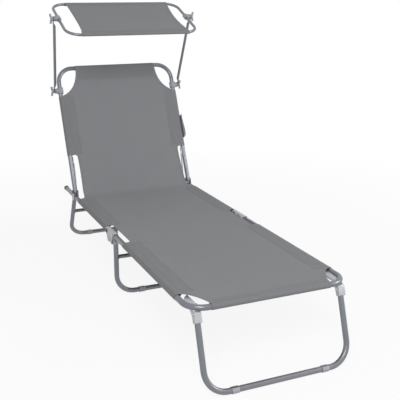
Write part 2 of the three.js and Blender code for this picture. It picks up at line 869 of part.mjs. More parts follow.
// A hand nut with two rounded wings, on the stud of a clamp.
function wingNut(side, eyeX) {
  const face = eyeX + armEyeThickness / 2 + seatGap + armSlope * nutHubRadius;
  const bore = studRadius + pinGap;
  const outline = [
    new THREE.Vector2(bore, face),
    new THREE.Vector2(nutHubRadius, face),
    new THREE.Vector2(nutTipRadius, face + nutHubLength),
    new THREE.Vector2(bore, face + nutHubLength),
    new THREE.Vector2(bore, face),
  ];
  const hub = new THREE.LatheGeometry(outline, roundSides);
  hub.rotateZ(-side * upright);
  const rootAlong = face + wingStandOff + wingRootRadius;
  const wings = [-1, 1].map((way) => {
    const root = [way * (bore + wingRootRadius), side * rootAlong, wingRootRadius];
    const tipUp = way * (wingSpan / 2 - wingTipRadius);
    const tip = [tipUp, side * (rootAlong + wingReach), wingTipRadius];
    return lengthwiseBar(roundedHull([root, tip]), -wingThickness / 2, wingThickness / 2);
  });
  const hole = crossRod(0, 0, bore, side * (face - cutOverrun), side * (face + nutHubLength + wingSpan));
  return join([solidOf(hub), ...wings]).subtract(hole);
}

// A solid through rings of the same number of points, capped at both ends.
function loft(rings) {
  const count = rings[0].length;
  const places = rings.flat().flatMap((point) => [point.x, point.y, point.z]);
  const faces = [];
  for (let r = 0; r < rings.length - 1; r++) {
    for (let i = 0; i < count; i++) {
      const next = (i + 1) % count;
      const low = r * count;
      const high = low + count;
      faces.push(low + i, low + next, high + next, low + i, high + next, high + i);
    }
  }
  const top = (rings.length - 1) * count;
  for (let i = 1; i < count - 1; i++) {
    faces.push(0, i + 1, i, top, top + i, top + i + 1);
  }
  const geometry = new THREE.BufferGeometry();
  geometry.setAttribute("position", new THREE.Float32BufferAttribute(places, 3));
  geometry.setIndex(faces);
  return solidOf(geometry);
}

// A canopy arm: a round tube whose ends are pressed flat into eyes, flush with its outer side.
// It is drawn upwards from its lower eye, and then slanted outwards as a whole.
function canopyArm(side) {
  const flushShift = shadeTubeRadius - armEyeThickness / 2;
  const flat = { thick: armEyeThickness / 2, wide: armEyeRadius, inwards: 0 };
  const round = { thick: shadeTubeRadius, wide: shadeTubeRadius, inwards: flushShift };
  const flareEnd = armFlatLength + armFlareLength;
  const stations = [
    [0, flat],
    [armFlatLength, flat],
    [flareEnd, round],
    [armLength - flareEnd, round],
    [armLength - armFlatLength, flat],
    [armLength, flat],
  ];
  const rings = stations.map(([height, section]) =>
    circlePoints(1, roundSides).map(
      (point) =>
        new THREE.Vector3(
          side * -section.inwards + section.thick * point.x,
          section.wide * point.y,
          height,
        ),
    ),
  );
  const eyes = [0, armLength].map((height) =>
    crossRod(0, height, armEyeRadius, -armEyeThickness / 2, armEyeThickness / 2),
  );
  const holes = [0, armLength].map((height) =>
    crossRod(0, height, studRadius + pinGap, -shadeTubeRadius, shadeTubeRadius),
  );
  const standing = geometryOf(cut(join([loft(rings), ...eyes]), holes));
  const slant = new THREE.Matrix4().makeShear(0, 0, 0, 0, side * armSlope, 0);
  return solidOf(standing.applyMatrix4(slant).translate(side * armEyeLowerX, 0, 0));
}

// The shade's frame: one closed loop of thin tube, drawn flat about the line through its pivots.
function shadeFrame() {
  const path = closedPath(
    [
      new THREE.Vector3(-shadeHalfSpan, -shadeFrontReach, 0),
      new THREE.Vector3(shadeHalfSpan, -shadeFrontReach, 0),
      new THREE.Vector3(shadeHalfSpan, shadeBackReach, 0),
      new THREE.Vector3(-shadeHalfSpan, shadeBackReach, 0),
    ],
    shadeCornerRadius,
  );
  return bentTube(path, shadeTubeRadius);
}

// A sleeve of cloth round a straight tube that runs across the lounger.
function crossSleeve(y, z, tubeRadius, halfLength) {
  const bore = tubeRadius + seatGap;
  return [
    crossRod(y, z, bore + clothThickness, -halfLength, halfLength),
    crossRod(y, z, bore, -halfLength - cutOverrun, halfLength + cutOverrun),
  ];
}

// A sleeve of cloth round a straight tube that runs along the lounger.
function lengthwiseSleeve(x, z, fromY, toY) {
  return [
    lengthwiseRod(x, z, sleeveRadius, fromY, toY),
    lengthwiseRod(x, z, sleeveBore, fromY - cutOverrun, toY + cutOverrun),
  ];
}

// One length of the sling: a stretched sheet with its sleeves, cut out round every tube in them.
function sling(outline, sheetZ, sleeves) {
  const sheet = flatSheet(outline, sheetZ, sheetZ + clothThickness);
  const outers = sleeves.map(([outer]) => outer);
  const bores = sleeves.map(([, bore]) => bore);
  return cut(join([sheet, ...outers]), bores);
}

// An outline that is the same on both sides, given by its right half from the foot end to the head end.
function mirroredOutline(drawRightHalf) {
  const half = new THREE.Path();
  drawRightHalf(half);
  const right = half.getPoints(edgeSteps);
  const left = right.map((point) => new THREE.Vector2(-point.x, point.y)).reverse();
  return new THREE.Shape([...right, ...left]);
}

function footSling() {
  const slotStart = footSleeveEnd;
  const outline = mirroredOutline((path) => {
    path.moveTo(frontSleeveHalf, 0);
    path.quadraticCurveTo(
      frontSleeveHalf + footCutAcrossShare * (railHalfSpan - frontSleeveHalf),
      footCutAlongShare * footSleeveStart,
      railHalfSpan,
      footSleeveStart,
    );
    path.lineTo(railHalfSpan, slotStart);
    path.lineTo(slotHalfWidth + clothEdgeRadius, slotStart);
    path.quadraticCurveTo(slotHalfWidth, slotStart, slotHalfWidth, slotStart + clothEdgeRadius);
    path.lineTo(slotHalfWidth, channelStartY - seatGap);
  });
  const sleeves = [-1, 1].map((side) =>
    lengthwiseSleeve(side * railHalfSpan, railHeight, footSleeveStart, slotStart),
  );
  sleeves.push(crossSleeve(0, railHeight, mainTubeRadius, frontSleeveHalf));
  return sling(outline, railHeight + sleeveBore, sleeves);
}

function hingeSling() {
  const outline = rectangle(-slotHalfWidth, slotHalfWidth, channelStartY, channelEndY);
  return sling(outline, railHeight + sleeveBore, []);
}

// The height above its pivot at which the seat's sheet meets the raised backrest's sheet.
const sheetMiddle = sleeveBore + clothThickness / 2;
const creaseAlong =
  (railHeight + sheetMiddle - backPivotZ - sheetMiddle * frontOfBack.y) / alongBack.y;
const creaseY = backPivotY + creaseAlong * alongBack.x + sheetMiddle * frontOfBack.x;

function seatSling() {
  const outline = mirroredOutline((path) => {
    path.moveTo(slotHalfWidth, channelEndY + seatGap);
    path.lineTo(slotHalfWidth, seatSleeveStart - clothEdgeRadius);
    path.quadraticCurveTo(slotHalfWidth, seatSleeveStart, slotHalfWidth + clothEdgeRadius, seatSleeveStart);
    path.lineTo(railHalfSpan, seatSleeveStart);
    path.lineTo(railHalfSpan, seatSleeveEnd);
    path.lineTo(seatEndHalfWidth + clothEdgeRadius, seatSleeveEnd);
    path.quadraticCurveTo(seatEndHalfWidth, seatSleeveEnd, seatEndHalfWidth, seatSleeveEnd + clothEdgeRadius);
    path.lineTo(seatEndHalfWidth, creaseY - creaseGap);
  });
  const sleeves = [-1, 1].map((side) =>
    lengthwiseSleeve(side * railHalfSpan, railHeight, seatSleeveStart, seatSleeveEnd),
  );
  return sling(outline, railHeight + sleeveBore, sleeves);
}

// The backrest's length of the sling, drawn flat in the backrest's own frame.
function backrestSling() {
  const outline = mirroredOutline((path) => {
    path.moveTo(seatEndHalfWidth, creaseAlong + creaseGap);
    path.quadraticCurveTo(seatEndHalfWidth, backSleeveStart / 2, backSlotHalfWidth, backSleeveStart - clothEdgeRadius);
    path.quadraticCurveTo(backSlotHalfWidth, backSleeveStart, backSlotHalfWidth + clothEdgeRadius, backSleeveStart);
    path.lineTo(railHalfSpan, backSleeveStart);
    path.lineTo(railHalfSpan, backSleeveEnd);
    path.quadraticCurveTo(
      topSleeveHalf + topCutAcrossShare * (railHalfSpan - topSleeveHalf),
      backSleeveEnd + topCutAlongShare * (backrestLength - backSleeveEnd),
      topSleeveHalf,
      backrestLength,
    );
  });
  const sleeves = [-1, 1].map((side) =>
    lengthwiseSleeve(side * railHalfSpan, 0, backSleeveStart, backSleeveEnd),
  );
  sleeves.push(crossSleeve(backrestLength, 0, mainTubeRadius, topSleeveHalf));
  return sling(outline, sleeveBore, sleeves);
}

// A small cloth pocket that hangs outside the backrest's right side, open at its upper end.
function sidePocket() {
  const near = railHalfSpan + sleeveRadius + seatGap;
  const far = near + pocketDepth;
  const ring = (along, inset, flare) => {
    const low = near + inset;
    const high = far - inset + flare;
    const half = pocketHalfWidth - inset;
    const corner = Math.min(half, high - low) / 2;
    return [
      [low, -half],
      [high - corner, -half],
      [high, -half + corner],
      [high, half - corner],
      [high - corner, half],
      [low, half],
    ].map(([x, z]) => new THREE.Vector3(x, along, z));
  };
  const bellyShare = 0.45;
  const taperShare = 0.5;
  const belly = THREE.MathUtils.lerp(pocketStart, pocketEnd, bellyShare);
  const outer = loft([
    ring(pocketStart, 0, -pocketDepth * taperShare).reverse(),
    ring(belly, 0, 0).reverse(),
    ring(pocketEnd, 0, pocketMouthFlare).reverse(),
  ]);
  const inner = loft([
    ring(pocketStart + clothThickness, clothThickness, -pocketDepth * taperShare).reverse(),
    ring(belly, clothThickness, 0).reverse(),
    ring(pocketEnd + cutOverrun, clothThickness, pocketMouthFlare).reverse(),
  ]);
  return outer.subtract(inner);
}

// The shade's cloth: stretched between the front and back bars, its free side edges drawn in.
function shadeCloth() {
  const bore = shadeTubeRadius + seatGap;
  const outline = mirroredOutline((path) => {
    path.moveTo(shadeClothHalfWidth, -shadeFrontReach);
    path.quadraticCurveTo(
      shadeClothHalfWidth - 2 * shadeClothWaist,
      (shadeBackReach - shadeFrontReach) / 2,
      shadeClothHalfWidth,
      shadeBackReach,
    );
  });
  const sleeves = [-shadeFrontReach, shadeBackReach].map((barY) =>
    crossSleeve(barY, 0, shadeTubeRadius, shadeClothHalfWidth),
  );
  return sling(outline, bore, sleeves);
}

// Builds a folding leg's group at its pivot, turned to where the leg stands.
function legGroup(name, halfSpan, pivotY, reach, openTowards, lug, frameCut, crossbarHeight) {
  const drop = legPivotZ - bottomBarHeight;
  const length = Math.hypot(reach, drop);
  const lean = Math.atan2(-openTowards * reach, drop);
  const group = new THREE.Group();
  group.position.set(0, pivotY, legPivotZ);
  group.rotation.x = lean;
  const turned = new THREE.Matrix4().makeRotationX(lean).setPosition(0, pivotY, legPivotZ);
  group.add(piece(`${name}_leg_tube`, foldingLegTube(halfSpan, length), greyPaint));
  for (const side of [-1, 1]) {
    const bracket = legBracket(side, halfSpan, openTowards, lug);
    const placed = solidOf(geometryOf(bracket).applyMatrix4(turned));
    const seated = frameCut ? placed.subtract(frameCut) : placed;
    const back = geometryOf(seated).applyMatrix4(turned.clone().invert());
    group.add(piece(`${name}_leg_bracket_${sideName(side)}`, solidOf(back), paleMetal));
    group.add(piece(`${name}_leg_rivet_${sideName(side)}`, legRivet(side, halfSpan), brightSteel));
  }
  if (crossbarHeight) {
    const below = ((legPivotZ - crossbarHeight) * length) / drop;
    group.add(piece(`${name}_leg_crossbar`, legCrossbar(halfSpan, below), greyPaint));
  }
  return group;
}

function footClips(name, barY) {
  return [-1, 1].map((side) =>
    piece(`${name}_leg_foot_${sideName(side)}`, footClip(side, barY), greyPlastic),
  );
}

function buildLounger() {
  const lounger = new THREE.Group();

  lounger.add(piece("foot_frame_tube", footFrameTube(), greyPaint));
  for (const side of [-1, 1]) {
    const label = sideName(side);
    lounger.add(piece(`seat_rail_${label}`, seatRail(side), greyPaint));
    lounger.add(piece(`rail_end_cap_${label}`, railEndCap(side), darkPlastic));
    lounger.add(piece(`hinge_channel_${label}`, hingeChannel(side), paleMetal));
    lounger.add(piece(`hinge_rivet_front_${label}`, hingeRivet(side, frontPinY), brightSteel));
    lounger.add(piece(`hinge_rivet_rear_${label}`, hingeRivet(side, rearPinY), brightSteel));
    lounger.add(piece(`backrest_hinge_${label}`, backrestHinge(side), paleMetal));
    lounger.add(piece(`backrest_rivet_${label}`, backrestRivet(side), brightSteel));
    lounger.add(piece(`prop_pin_${label}`, propPin(side), brightSteel));
  }

  // The front legs' brackets hug the corner tube, which a slightly fatter tube cuts out of them.
  const cornerPath = openPath(
    [
      new THREE.Vector3(-railHalfSpan, footSleeveStart, railHeight),
      new THREE.Vector3(-railHalfSpan, 0, railHeight),
      new THREE.Vector3(railHalfSpan, 0, railHeight),
      new THREE.Vector3(railHalfSpan, footSleeveStart, railHeight),
    ],
    frameCornerRadius,
  );
  const cornerCut = bentTube(cornerPath, mainTubeRadius + seatGap);
  const lugInset = mainTubeRadius / 4;
  const frontLug = {
    along: frontLugAlong,
    rise: frontLugRise,
    inset: lugInset,
    skirt: frontBracketSkirt,
  };
  const rearLug = {
    along: -rearLugAlong,
    rise: rearLugRise,
    inset: lugInset,
    skirt: rearBracketSkirt,
  };
  lounger.add(
    legGroup("front", frontLegHalfSpan, frontLegPivotY, frontLegReach, 1, frontLug, cornerCut, 0),
  );
  lounger.add(
    legGroup("rear", rearLegHalfSpan, rearLegPivotY, rearLegReach, -1, rearLug, null, rearCrossbarHeight),
  );

  const middleTop = railHeight + mainTubeRadius - 2 * seatGap;
  const middleLeg = new THREE.Group();
  middleLeg.position.set(0, channelMiddleY, middleTop);
  const middleDrop = middleTop - bottomBarHeight;
  middleLeg.add(piece("middle_leg_tube", legTube(middleLegHalfSpan, 0, middleDrop), greyPaint));
  const middleBar = legCrossbar(middleLegHalfSpan, middleTop - middleCrossbarHeight);
  middleLeg.add(piece("middle_leg_crossbar", middleBar, greyPaint));
  lounger.add(middleLeg);

  lounger.add(...footClips("front", frontLegPivotY - frontLegReach));
  lounger.add(...footClips("middle", channelMiddleY));
  lounger.add(...footClips("rear", rearLegPivotY + rearLegReach));

  lounger.add(piece("foot_sling", footSling(), greyCloth));
  lounger.add(piece("hinge_sling", hingeSling(), greyCloth));
  lounger.add(piece("seat_sling", seatSling(), greyCloth));

  const backrest = new THREE.Group();
  backrest.position.set(0, backPivotY, backPivotZ);
  backrest.rotation.x = backrestAngle;
  backrest.add(piece("backrest_tube", backrestTube(), greyPaint));
  backrest.add(piece("backrest_sling", backrestSling(), greyCloth));
  backrest.add(piece("side_pocket", sidePocket(), greyCloth));
  const armLine = new THREE.Vector2(backPivotY, backPivotZ).addScaledVector(alongBack, armPivotAlong);
  const armAngle = THREE.MathUtils.degToRad(armLean);
  const arms = new THREE.Group();
  arms.position.set(0, armLine.x, armLine.y);
  arms.rotation.x = armAngle;
  const shade = new THREE.Group();
  shade.position.set(
    0,
    armLine.x - armLength * Math.sin(armAngle),
    armLine.y + armLength * Math.cos(armAngle),
  );
  shade.rotation.x = THREE.MathUtils.degToRad(shadeTilt);
  for (const side of [-1, 1]) {
    const label = sideName(side);
    backrest.add(piece(`notch_plate_${label}`, notchPlate(side), paleMetal));
    const prop = piece(`prop_bar_${label}`, propBar(side), paleMetal);
    prop.position.set(0, propPivot.x, propPivot.y);
    prop.rotation.x = propUprightAngle;
    lounger.add(prop);
    const lowerClamp = armClamp(side, railHalfSpan, mainTubeRadius, armEyeLowerX);
    const clampMesh = piece(`arm_clamp_${label}`, lowerClamp, greyPlastic);
    clampMesh.position.y = armPivotAlong;
    backrest.add(clampMesh);
    const lowerNut = piece(`arm_wing_nut_${label}`, wingNut(side, armEyeLowerX), greyPlastic);
    lowerNut.position.y = armPivotAlong;
    backrest.add(lowerNut);
    arms.add(piece(`canopy_arm_${label}`, canopyArm(side), greyPaint));
    const upperClamp = armClamp(side, shadeHalfSpan, shadeTubeRadius, armEyeUpperX);
    shade.add(piece(`shade_clamp_${label}`, upperClamp, greyPlastic));
    shade.add(piece(`shade_wing_nut_${label}`, wingNut(side, armEyeUpperX), greyPlastic));
  }
  shade.add(piece("shade_frame", shadeFrame(), greyPaint));
  shade.add(piece("shade_cloth", shadeCloth(), greyCloth));
  lounger.add(backrest, arms, shade);

  const footEnd = frontLegPivotY - frontLegReach - clipRadius;
  const headEnd = backPivotY + backrestLength * alongBack.x + sleeveRadius;
  lounger.position.y = -(footEnd + headEnd) / 2;
  return lounger;
}

const assembly = new THREE.Group();
assembly.add(buildLounger());

export default assembly;
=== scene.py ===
"""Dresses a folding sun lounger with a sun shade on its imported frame, in metres, with +Z up.

X runs across the lounger and +Y from its foot end to its head end.
"""

import logging
import math
from dataclasses import dataclass, field
from enum import Enum
from typing import Callable, Sequence

import bmesh
import bpy
import numpy as np
from mathutils import Matrix, Vector
from mathutils.geometry import delaunay_2d_cdt


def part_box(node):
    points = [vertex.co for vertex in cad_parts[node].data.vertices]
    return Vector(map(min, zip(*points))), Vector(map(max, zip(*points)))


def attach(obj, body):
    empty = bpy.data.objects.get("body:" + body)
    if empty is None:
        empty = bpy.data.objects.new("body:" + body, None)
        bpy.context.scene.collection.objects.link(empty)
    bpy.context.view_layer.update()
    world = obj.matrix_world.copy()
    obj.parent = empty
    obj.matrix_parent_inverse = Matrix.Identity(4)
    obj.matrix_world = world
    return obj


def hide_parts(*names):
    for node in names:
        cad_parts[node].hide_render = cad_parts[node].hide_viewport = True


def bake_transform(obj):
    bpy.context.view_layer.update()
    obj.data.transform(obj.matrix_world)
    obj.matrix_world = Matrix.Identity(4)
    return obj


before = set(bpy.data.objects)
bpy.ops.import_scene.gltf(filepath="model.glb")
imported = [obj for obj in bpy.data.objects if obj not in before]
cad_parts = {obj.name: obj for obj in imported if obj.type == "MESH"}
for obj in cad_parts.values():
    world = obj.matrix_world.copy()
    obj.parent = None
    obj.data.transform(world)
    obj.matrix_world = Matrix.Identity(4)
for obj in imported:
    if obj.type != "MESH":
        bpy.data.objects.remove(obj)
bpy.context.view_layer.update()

LOG = logging.getLogger("sun_lounger")
MM = 0.001
QUARTER = math.pi / 2
ACROSS = Vector((1, 0, 0))
AHEAD = Vector((0, 1, 0))
UP = Vector((0, 0, 1))
TUBE_SIDES = 28
BEND_STEPS = 12
DOME_ANGLES = [QUARTER * share for share in (0, 0.2, 0.4, 0.6, 0.8, 0.9)]
SMOOTH_ANGLE = math.radians(38)
FLAT_ANGLE = math.radians(0.6)
MERGE_DISTANCE = 1e-6
NEAR = 1e-5

Point = tuple[float, float]
Path = list[Point]
Node = bpy.types.Node
Values = dict[int | str, object]
Piece = bpy.types.Object
Socket = bpy.types.NodeSocket
Material = bpy.types.Material


class Side(Enum):
    """The two sides, as a viewer at the foot end sees them."""

    LEFT = -1
    RIGHT = 1

    @property
    def label(self) -> str:
        """The word that names carry."""
        return self.name.lower()


class Slot(Enum):
    """The record's material slots."""

    FRAME = "frame_paint"
    BRACKET = "bracket_steel"
    RIVET = "rivet_steel"
    CLOTH = "sling_fabric"
    CAP = "cap_plastic"
    FOOT = "foot_plastic"
    KNOB = "knob_plastic"


def clamped(value: float) -> float:
    """The value, held between 0 and 1."""
    return min(max(value, 0.0), 1.0)


def eased(value: float) -> float:
    """Goes smoothly from 0 to 1 while the value does."""
    share = clamped(value)
    return share * share * (3 - 2 * share)


def slanting(angle: float) -> Vector:
    """The way that rises by an angle from +Y, seen from the side."""
    return Vector((0, math.cos(angle), math.sin(angle)))


# Shader maths


def arithmetic(operation: str, swapped: bool = False) -> Callable[..., "Wire"]:
    """Makes the method of a Wire that adds the Math node of an operation.

    Args:
        operation: the node's operation.
        swapped: whether the Wire is the second value.

    Returns:
        The method.
    """

    def method(self: "Wire", *other: "Wire | float") -> "Wire":
        """Works on this and on the other value, where there is one."""
        return self.math(operation, *((*other, self) if swapped else (self, *other)))

    return method


class Wire:
    """A number that runs through a material, on which plain arithmetic adds Math nodes."""

    def __init__(self, recipe: "Recipe", socket: Socket) -> None:
        """Keeps the recipe that the socket belongs to."""
        self.recipe = recipe
        self.socket = socket

    def math(self, operation: str, *operands: "Wire | float") -> "Wire":
        """Adds one Math node.

        Args:
            operation: the node's operation.
            operands: its first, second and third value.

        Returns:
            The node's result.
        """
        values = {i: value for i, value in enumerate(operands)}
        node = self.recipe.node("ShaderNodeMath", {"operation": operation}, values)
        return Wire(self.recipe, node.outputs[0])

    __add__ = __radd__ = arithmetic("ADD")
    __sub__ = arithmetic("SUBTRACT")
    __rsub__ = arithmetic("SUBTRACT", swapped=True)
    __mul__ = __rmul__ = arithmetic("MULTIPLY")
    __truediv__ = arithmetic("DIVIDE")
    fraction = arithmetic("FRACT")
    whole = arithmetic("FLOOR")
    sine = arithmetic("SINE")
    root = arithmetic("SQRT")

    def clamp(self) -> "Wire":
        """Held between 0 and 1."""
        return self.math("MINIMUM", self.math("MAXIMUM", self, 0.0), 1.0)

    def above(self, edge: float, softness: float) -> "Wire":
        """Goes from 0 to 1 about an edge, over softness on each side of it."""
        return ((self - (edge - softness)) / (2 * softness)).clamp()


class Recipe:
    """A material, or the world, while it is put together."""

    def __init__(self, name: str, kind: str = "Material") -> None:
        """Starts an empty one with its output.

        Args:
            name: its name.
            kind: Material or World.
        """
        library = bpy.data.worlds if kind == "World" else bpy.data.materials
        self.material = library.new(name)
        self.material.use_nodes = True
        self.tree = self.material.node_tree
        self.tree.nodes.clear()
        self.output = self.node(f"ShaderNodeOutput{kind}")

    def node(self, kind: str, settings: Values | None = None, inputs: Values | None = None) -> Node:
        """Adds a node.

        Args:
            kind: the node's type.
            settings: its own settings, which are set first.
            inputs: a number, colour, Wire or socket for each named or numbered input.

        Returns:
            The node.
        """
        node = self.tree.nodes.new(kind)
        for key, value in (settings or {}).items():
            setattr(node, key, value)
        for key, value in (inputs or {}).items():
            if isinstance(value, Wire):
                value = value.socket
            if isinstance(value, Socket):
                self.tree.links.new(value, node.inputs[key])
            else:
                node.inputs[key].default_value = value
        return node

    def wire(self, node: Node, output: int | str = 0) -> Wire:
        """The number that a node gives out."""
        return Wire(self, node.outputs[output])

    def place(self, stretch: Sequence[float] = (1, 1, 1)) -> Socket:
        """The place on the piece in metres, scaled along each axis by stretch."""
        coordinates = self.node("ShaderNodeTexCoord").outputs["Object"]
        return self.stretched(coordinates, stretch)

    def stretched(self, place: Socket, stretch: Sequence[float]) -> Socket:
        """A place, scaled along each axis."""
        return self.node("ShaderNodeMapping", None, {"Vector": place, "Scale": stretch}).outputs["Vector"]

    def cloth_place(self) -> Socket:
        """The place on the flat cut of a cloth, in metres."""
        return self.node("ShaderNodeUVMap", {"uv_map": "Cloth"}).outputs["UV"]

    def carried(self, name: str) -> Wire:
        """A number that the mesh carries."""
        return self.wire(self.node("ShaderNodeAttribute", {"attribute_name": name}), "Fac")

    def axes(self, place: Socket) -> tuple[Wire, Wire, Wire]:
        """The three numbers of a place."""
        parts = self.node("ShaderNodeSeparateXYZ", None, {"Vector": place})
        return self.wire(parts, 0), self.wire(parts, 1), self.wire(parts, 2)

    def noise(self, place: Socket, scale: float, detail: float = 2.0) -> Wire:
        """Smooth noise from 0 to 1, with scale swells to the metre."""
        inputs = {"Vector": place, "Scale": scale, "Detail": detail}
        return self.wire(self.node("ShaderNodeTexNoise", {"noise_dimensions": "3D"}, inputs))

    def mixed(self, share: Wire, first: object, second: object) -> Socket:
        """A colour between two colours or sockets, with a share of the second."""
        settings = {"data_type": "RGBA", "blend_type": "MIX"}
        return self.node("ShaderNodeMix", settings, {0: share, 6: first, 7: second}).outputs[2]

    def toned(self, share: Wire, grey: float, tint: "Tint", reach: float) -> Socket:
        """A grey that goes from reach below to reach above, as a share of itself."""
        return self.mixed(share, opaque(grey * (1 - reach), tint), opaque(grey * (1 + reach), tint))

    def bump(self, height: Wire, depth: float) -> Socket:
        """Turns a height from 0 to 1 into a surface that is depth metres deep."""
        node = self.node("ShaderNodeBump", None, {"Strength": 1.0, "Distance": depth, "Height": height})
        return node.outputs["Normal"]

    def seen(self) -> Wire:
        """1 for what the camera sees, straight or in a gloss, and 0 for what only lights the pieces."""
        rays = self.node("ShaderNodeLightPath")
        return (self.wire(rays, "Is Camera Ray") + self.wire(rays, "Is Glossy Ray")).clamp()

    def surface(self, **sockets: object) -> Material:
        """Ends the recipe with one principled shader, its inputs named with _ for spaces."""
        inputs = {key.replace("_", " "): value for key, value in sockets.items()}
        return self.shown(self.node("ShaderNodeBsdfPrincipled", None, inputs))

    def shown(self, shader: Node) -> Material:
        """Ends the recipe with the shader that shows."""
        self.tree.links.new(shader.outputs[0], self.output.inputs["Surface"])
        return self.material


Tint = tuple[float, float, float]
PLAIN: Tint = (1.0, 1.0, 1.0)
COOL: Tint = (0.97, 1.0, 1.08)
DUSTY: Tint = (1.05, 1.0, 0.93)
WHITE = (1.0, 1.0, 1.0, 1.0)


def opaque(grey: float, tint: Tint = PLAIN) -> tuple[float, float, float, float]:
    """A near grey in linear light."""
    return (grey * tint[0], grey * tint[1], grey * tint[2], 1.0)


# Finishes


@dataclass(frozen=True)
class SilverLacquer:
    """Grey metallic lacquer on steel tube, with fine flake, dust and a few rubbed spots."""

    grey: float = 0.215
    tint: Tint = (0.955, 1.0, 1.13)
    metallic: float = 0.6
    roughness: float = 0.28

    def material(self) -> Material:
        """Builds the lacquer."""
        recipe = Recipe("silver_lacquer")
        place = recipe.place()
        height = recipe.axes(place)[2]
        cloud = recipe.noise(place, 14, 3)
        flake = recipe.noise(place, 2600, 1)
        peel = recipe.noise(place, 420, 2)
        rubbed = recipe.noise(place, 95, 4).above(0.71, 0.02)
        dust = (1 - height / 0.09).clamp() * recipe.noise(place, 60, 4).above(0.45, 0.2)
        base = recipe.toned(cloud.above(0.5, 0.25), self.grey, self.tint, 0.07)
        flaked = recipe.mixed(flake.above(0.62, 0.08) * 0.35, base, opaque(self.grey * 1.5, self.tint))
        worn = recipe.mixed(rubbed * 0.45, flaked, opaque(0.42, COOL))
        dusty = recipe.mixed(dust * 0.35, worn, opaque(0.3, DUSTY))
        rough = self.roughness + 0.08 * cloud + 0.12 * dust - 0.06 * rubbed
        return recipe.surface(
            Base_Color=dusty,
            Metallic=self.metallic,
            Roughness=rough,
            Normal=recipe.bump(peel * 0.7 + flake * 0.3, 0.00006),
        )


@dataclass(frozen=True)
class SpangledZinc:
    """Pale zinc on pressed steel, with faint crystals and drawn streaks."""

    grey: float = 0.53
    tint: Tint = (0.975, 1.0, 1.06)
    metallic: float = 0.35
    roughness: float = 0.44

    def material(self) -> Material:
        """Builds the zinc coat."""
        recipe = Recipe("spangled_zinc")
        place = recipe.place()
        cells = recipe.node("ShaderNodeTexVoronoi", {"feature": "F1"}, {"Vector": place, "Scale": 260})
        crystals = recipe.axes(cells.outputs["Color"])[0]
        streaks = recipe.noise(recipe.place((900, 60, 900)), 1, 2)
        grime = recipe.noise(place, 55, 4).above(0.62, 0.08)
        base = recipe.toned(crystals, self.grey, self.tint, 0.05)
        soiled = recipe.mixed(grime * 0.3, base, opaque(self.grey * 0.62, DUSTY))
        return recipe.surface(
            Base_Color=soiled,
            Metallic=self.metallic,
            Roughness=self.roughness + 0.12 * streaks + 0.1 * grime,
            Normal=recipe.bump(streaks * 0.6 + crystals * 0.4, 0.00004),
        )


@dataclass(frozen=True)
class PlatedSteel:
    """Plated rivets and pins, duller where they tarnish."""

    name: str
    grey: float
    tarnished: float
    roughness: float = 0.24

    def material(self) -> Material:
        """Builds the plated steel."""
        recipe = Recipe(self.name)
        place = recipe.place()
        tarnish = recipe.noise(place, 500, 3).above(0.55, 0.15)
        base = recipe.mixed(tarnish, opaque(self.grey), opaque(self.tarnished, DUSTY))
        return recipe.surface(
            Base_Color=base,
            Metallic=1.0,
            Roughness=self.roughness + 0.2 * tarnish,
            Normal=recipe.bump(recipe.noise(place, 1500, 1), 0.00002),
        )


@dataclass(frozen=True)
class MouldedPlastic:
    """Matt moulded plastic with a spark-eroded grain."""

    name: str
    grey: float
    tint: Tint = COOL
    roughness: float = 0.5

    def material(self) -> Material:
        """Builds the plastic."""
        recipe = Recipe(self.name)
        place = recipe.place()
        grain = recipe.noise(place, 1400, 2)
        cloud = recipe.noise(place, 70, 3)
        scuff = recipe.noise(place, 260, 4).above(0.68, 0.04)
        base = recipe.toned(cloud, self.grey, self.tint, 0.08)
        scuffed = recipe.mixed(scuff * 0.35, base, opaque(min(1.0, self.grey * 1.5)))
        return recipe.surface(
            Base_Color=scuffed,
            Roughness=self.roughness + 0.1 * grain + 0.08 * scuff,
            Normal=recipe.bump(grain, 0.00006),
        )


@dataclass(frozen=True)
class WovenCloth:
    """Grey plain-woven polyester: threads over and under with painted shade in the weave's hollows, darker
    where it lies double.
    """

    grey: float = 0.252
    thread: float = 0.85 * MM
    tint: Tint = (0.985, 1.0, 1.045)

    def material(self) -> Material:
        """Builds the woven cloth from the flat cut's own metres."""
        recipe = Recipe("woven_cloth")
        flat = recipe.cloth_place()
        across, along, _ = recipe.axes(flat)
        warp, weft = across / self.thread, along / self.thread
        over = ((warp.whole() + weft.whole()) * 0.5).fraction() * 2
        warp_round = (warp.fraction() * math.pi).sine()
        weft_round = (weft.fraction() * math.pi).sine()
        warp_top = warp_round * (1 - over) * (0.55 + 0.45 * weft_round)
        weft_top = weft_round * over * (0.55 + 0.45 * warp_round)
        height = warp_top + weft_top
        slub = recipe.noise(recipe.stretched(flat, (40, 900, 1)), 1, 2)
        cloud = recipe.noise(flat, 9, 3)
        fading = recipe.noise(flat, 2.2, 2)
        doubled, edge = recipe.carried("double"), recipe.carried("edge")
        # The raised threads are painted lighter and the hollows between them darker, as painted shade,
        # mixed with the yarn's own slub and cloud.
        weave_shade_and_tone = 0.5 * height + 0.25 * slub + 0.25 * cloud
        base = recipe.mixed(weave_shade_and_tone, opaque(self.grey * 0.86, self.tint), opaque(self.grey * 1.12, self.tint))
        faded = recipe.mixed(fading.above(0.5, 0.3) * 0.25, base, opaque(self.grey * 1.14, self.tint))
        lined = recipe.mixed(doubled * 0.4, faded, opaque(self.grey * 0.78, self.tint))
        rubbed = recipe.mixed(edge * 0.35, lined, opaque(self.grey * 1.25, self.tint))
        return recipe.surface(
            Base_Color=rubbed,
            Roughness=0.84 + 0.08 * cloud,
            Sheen_Weight=0.12,
            Sheen_Roughness=0.5,
            Specular_IOR_Level=0.25,
            Normal=recipe.bump(height * 0.85 + slub * 0.15, 0.00016),
        )


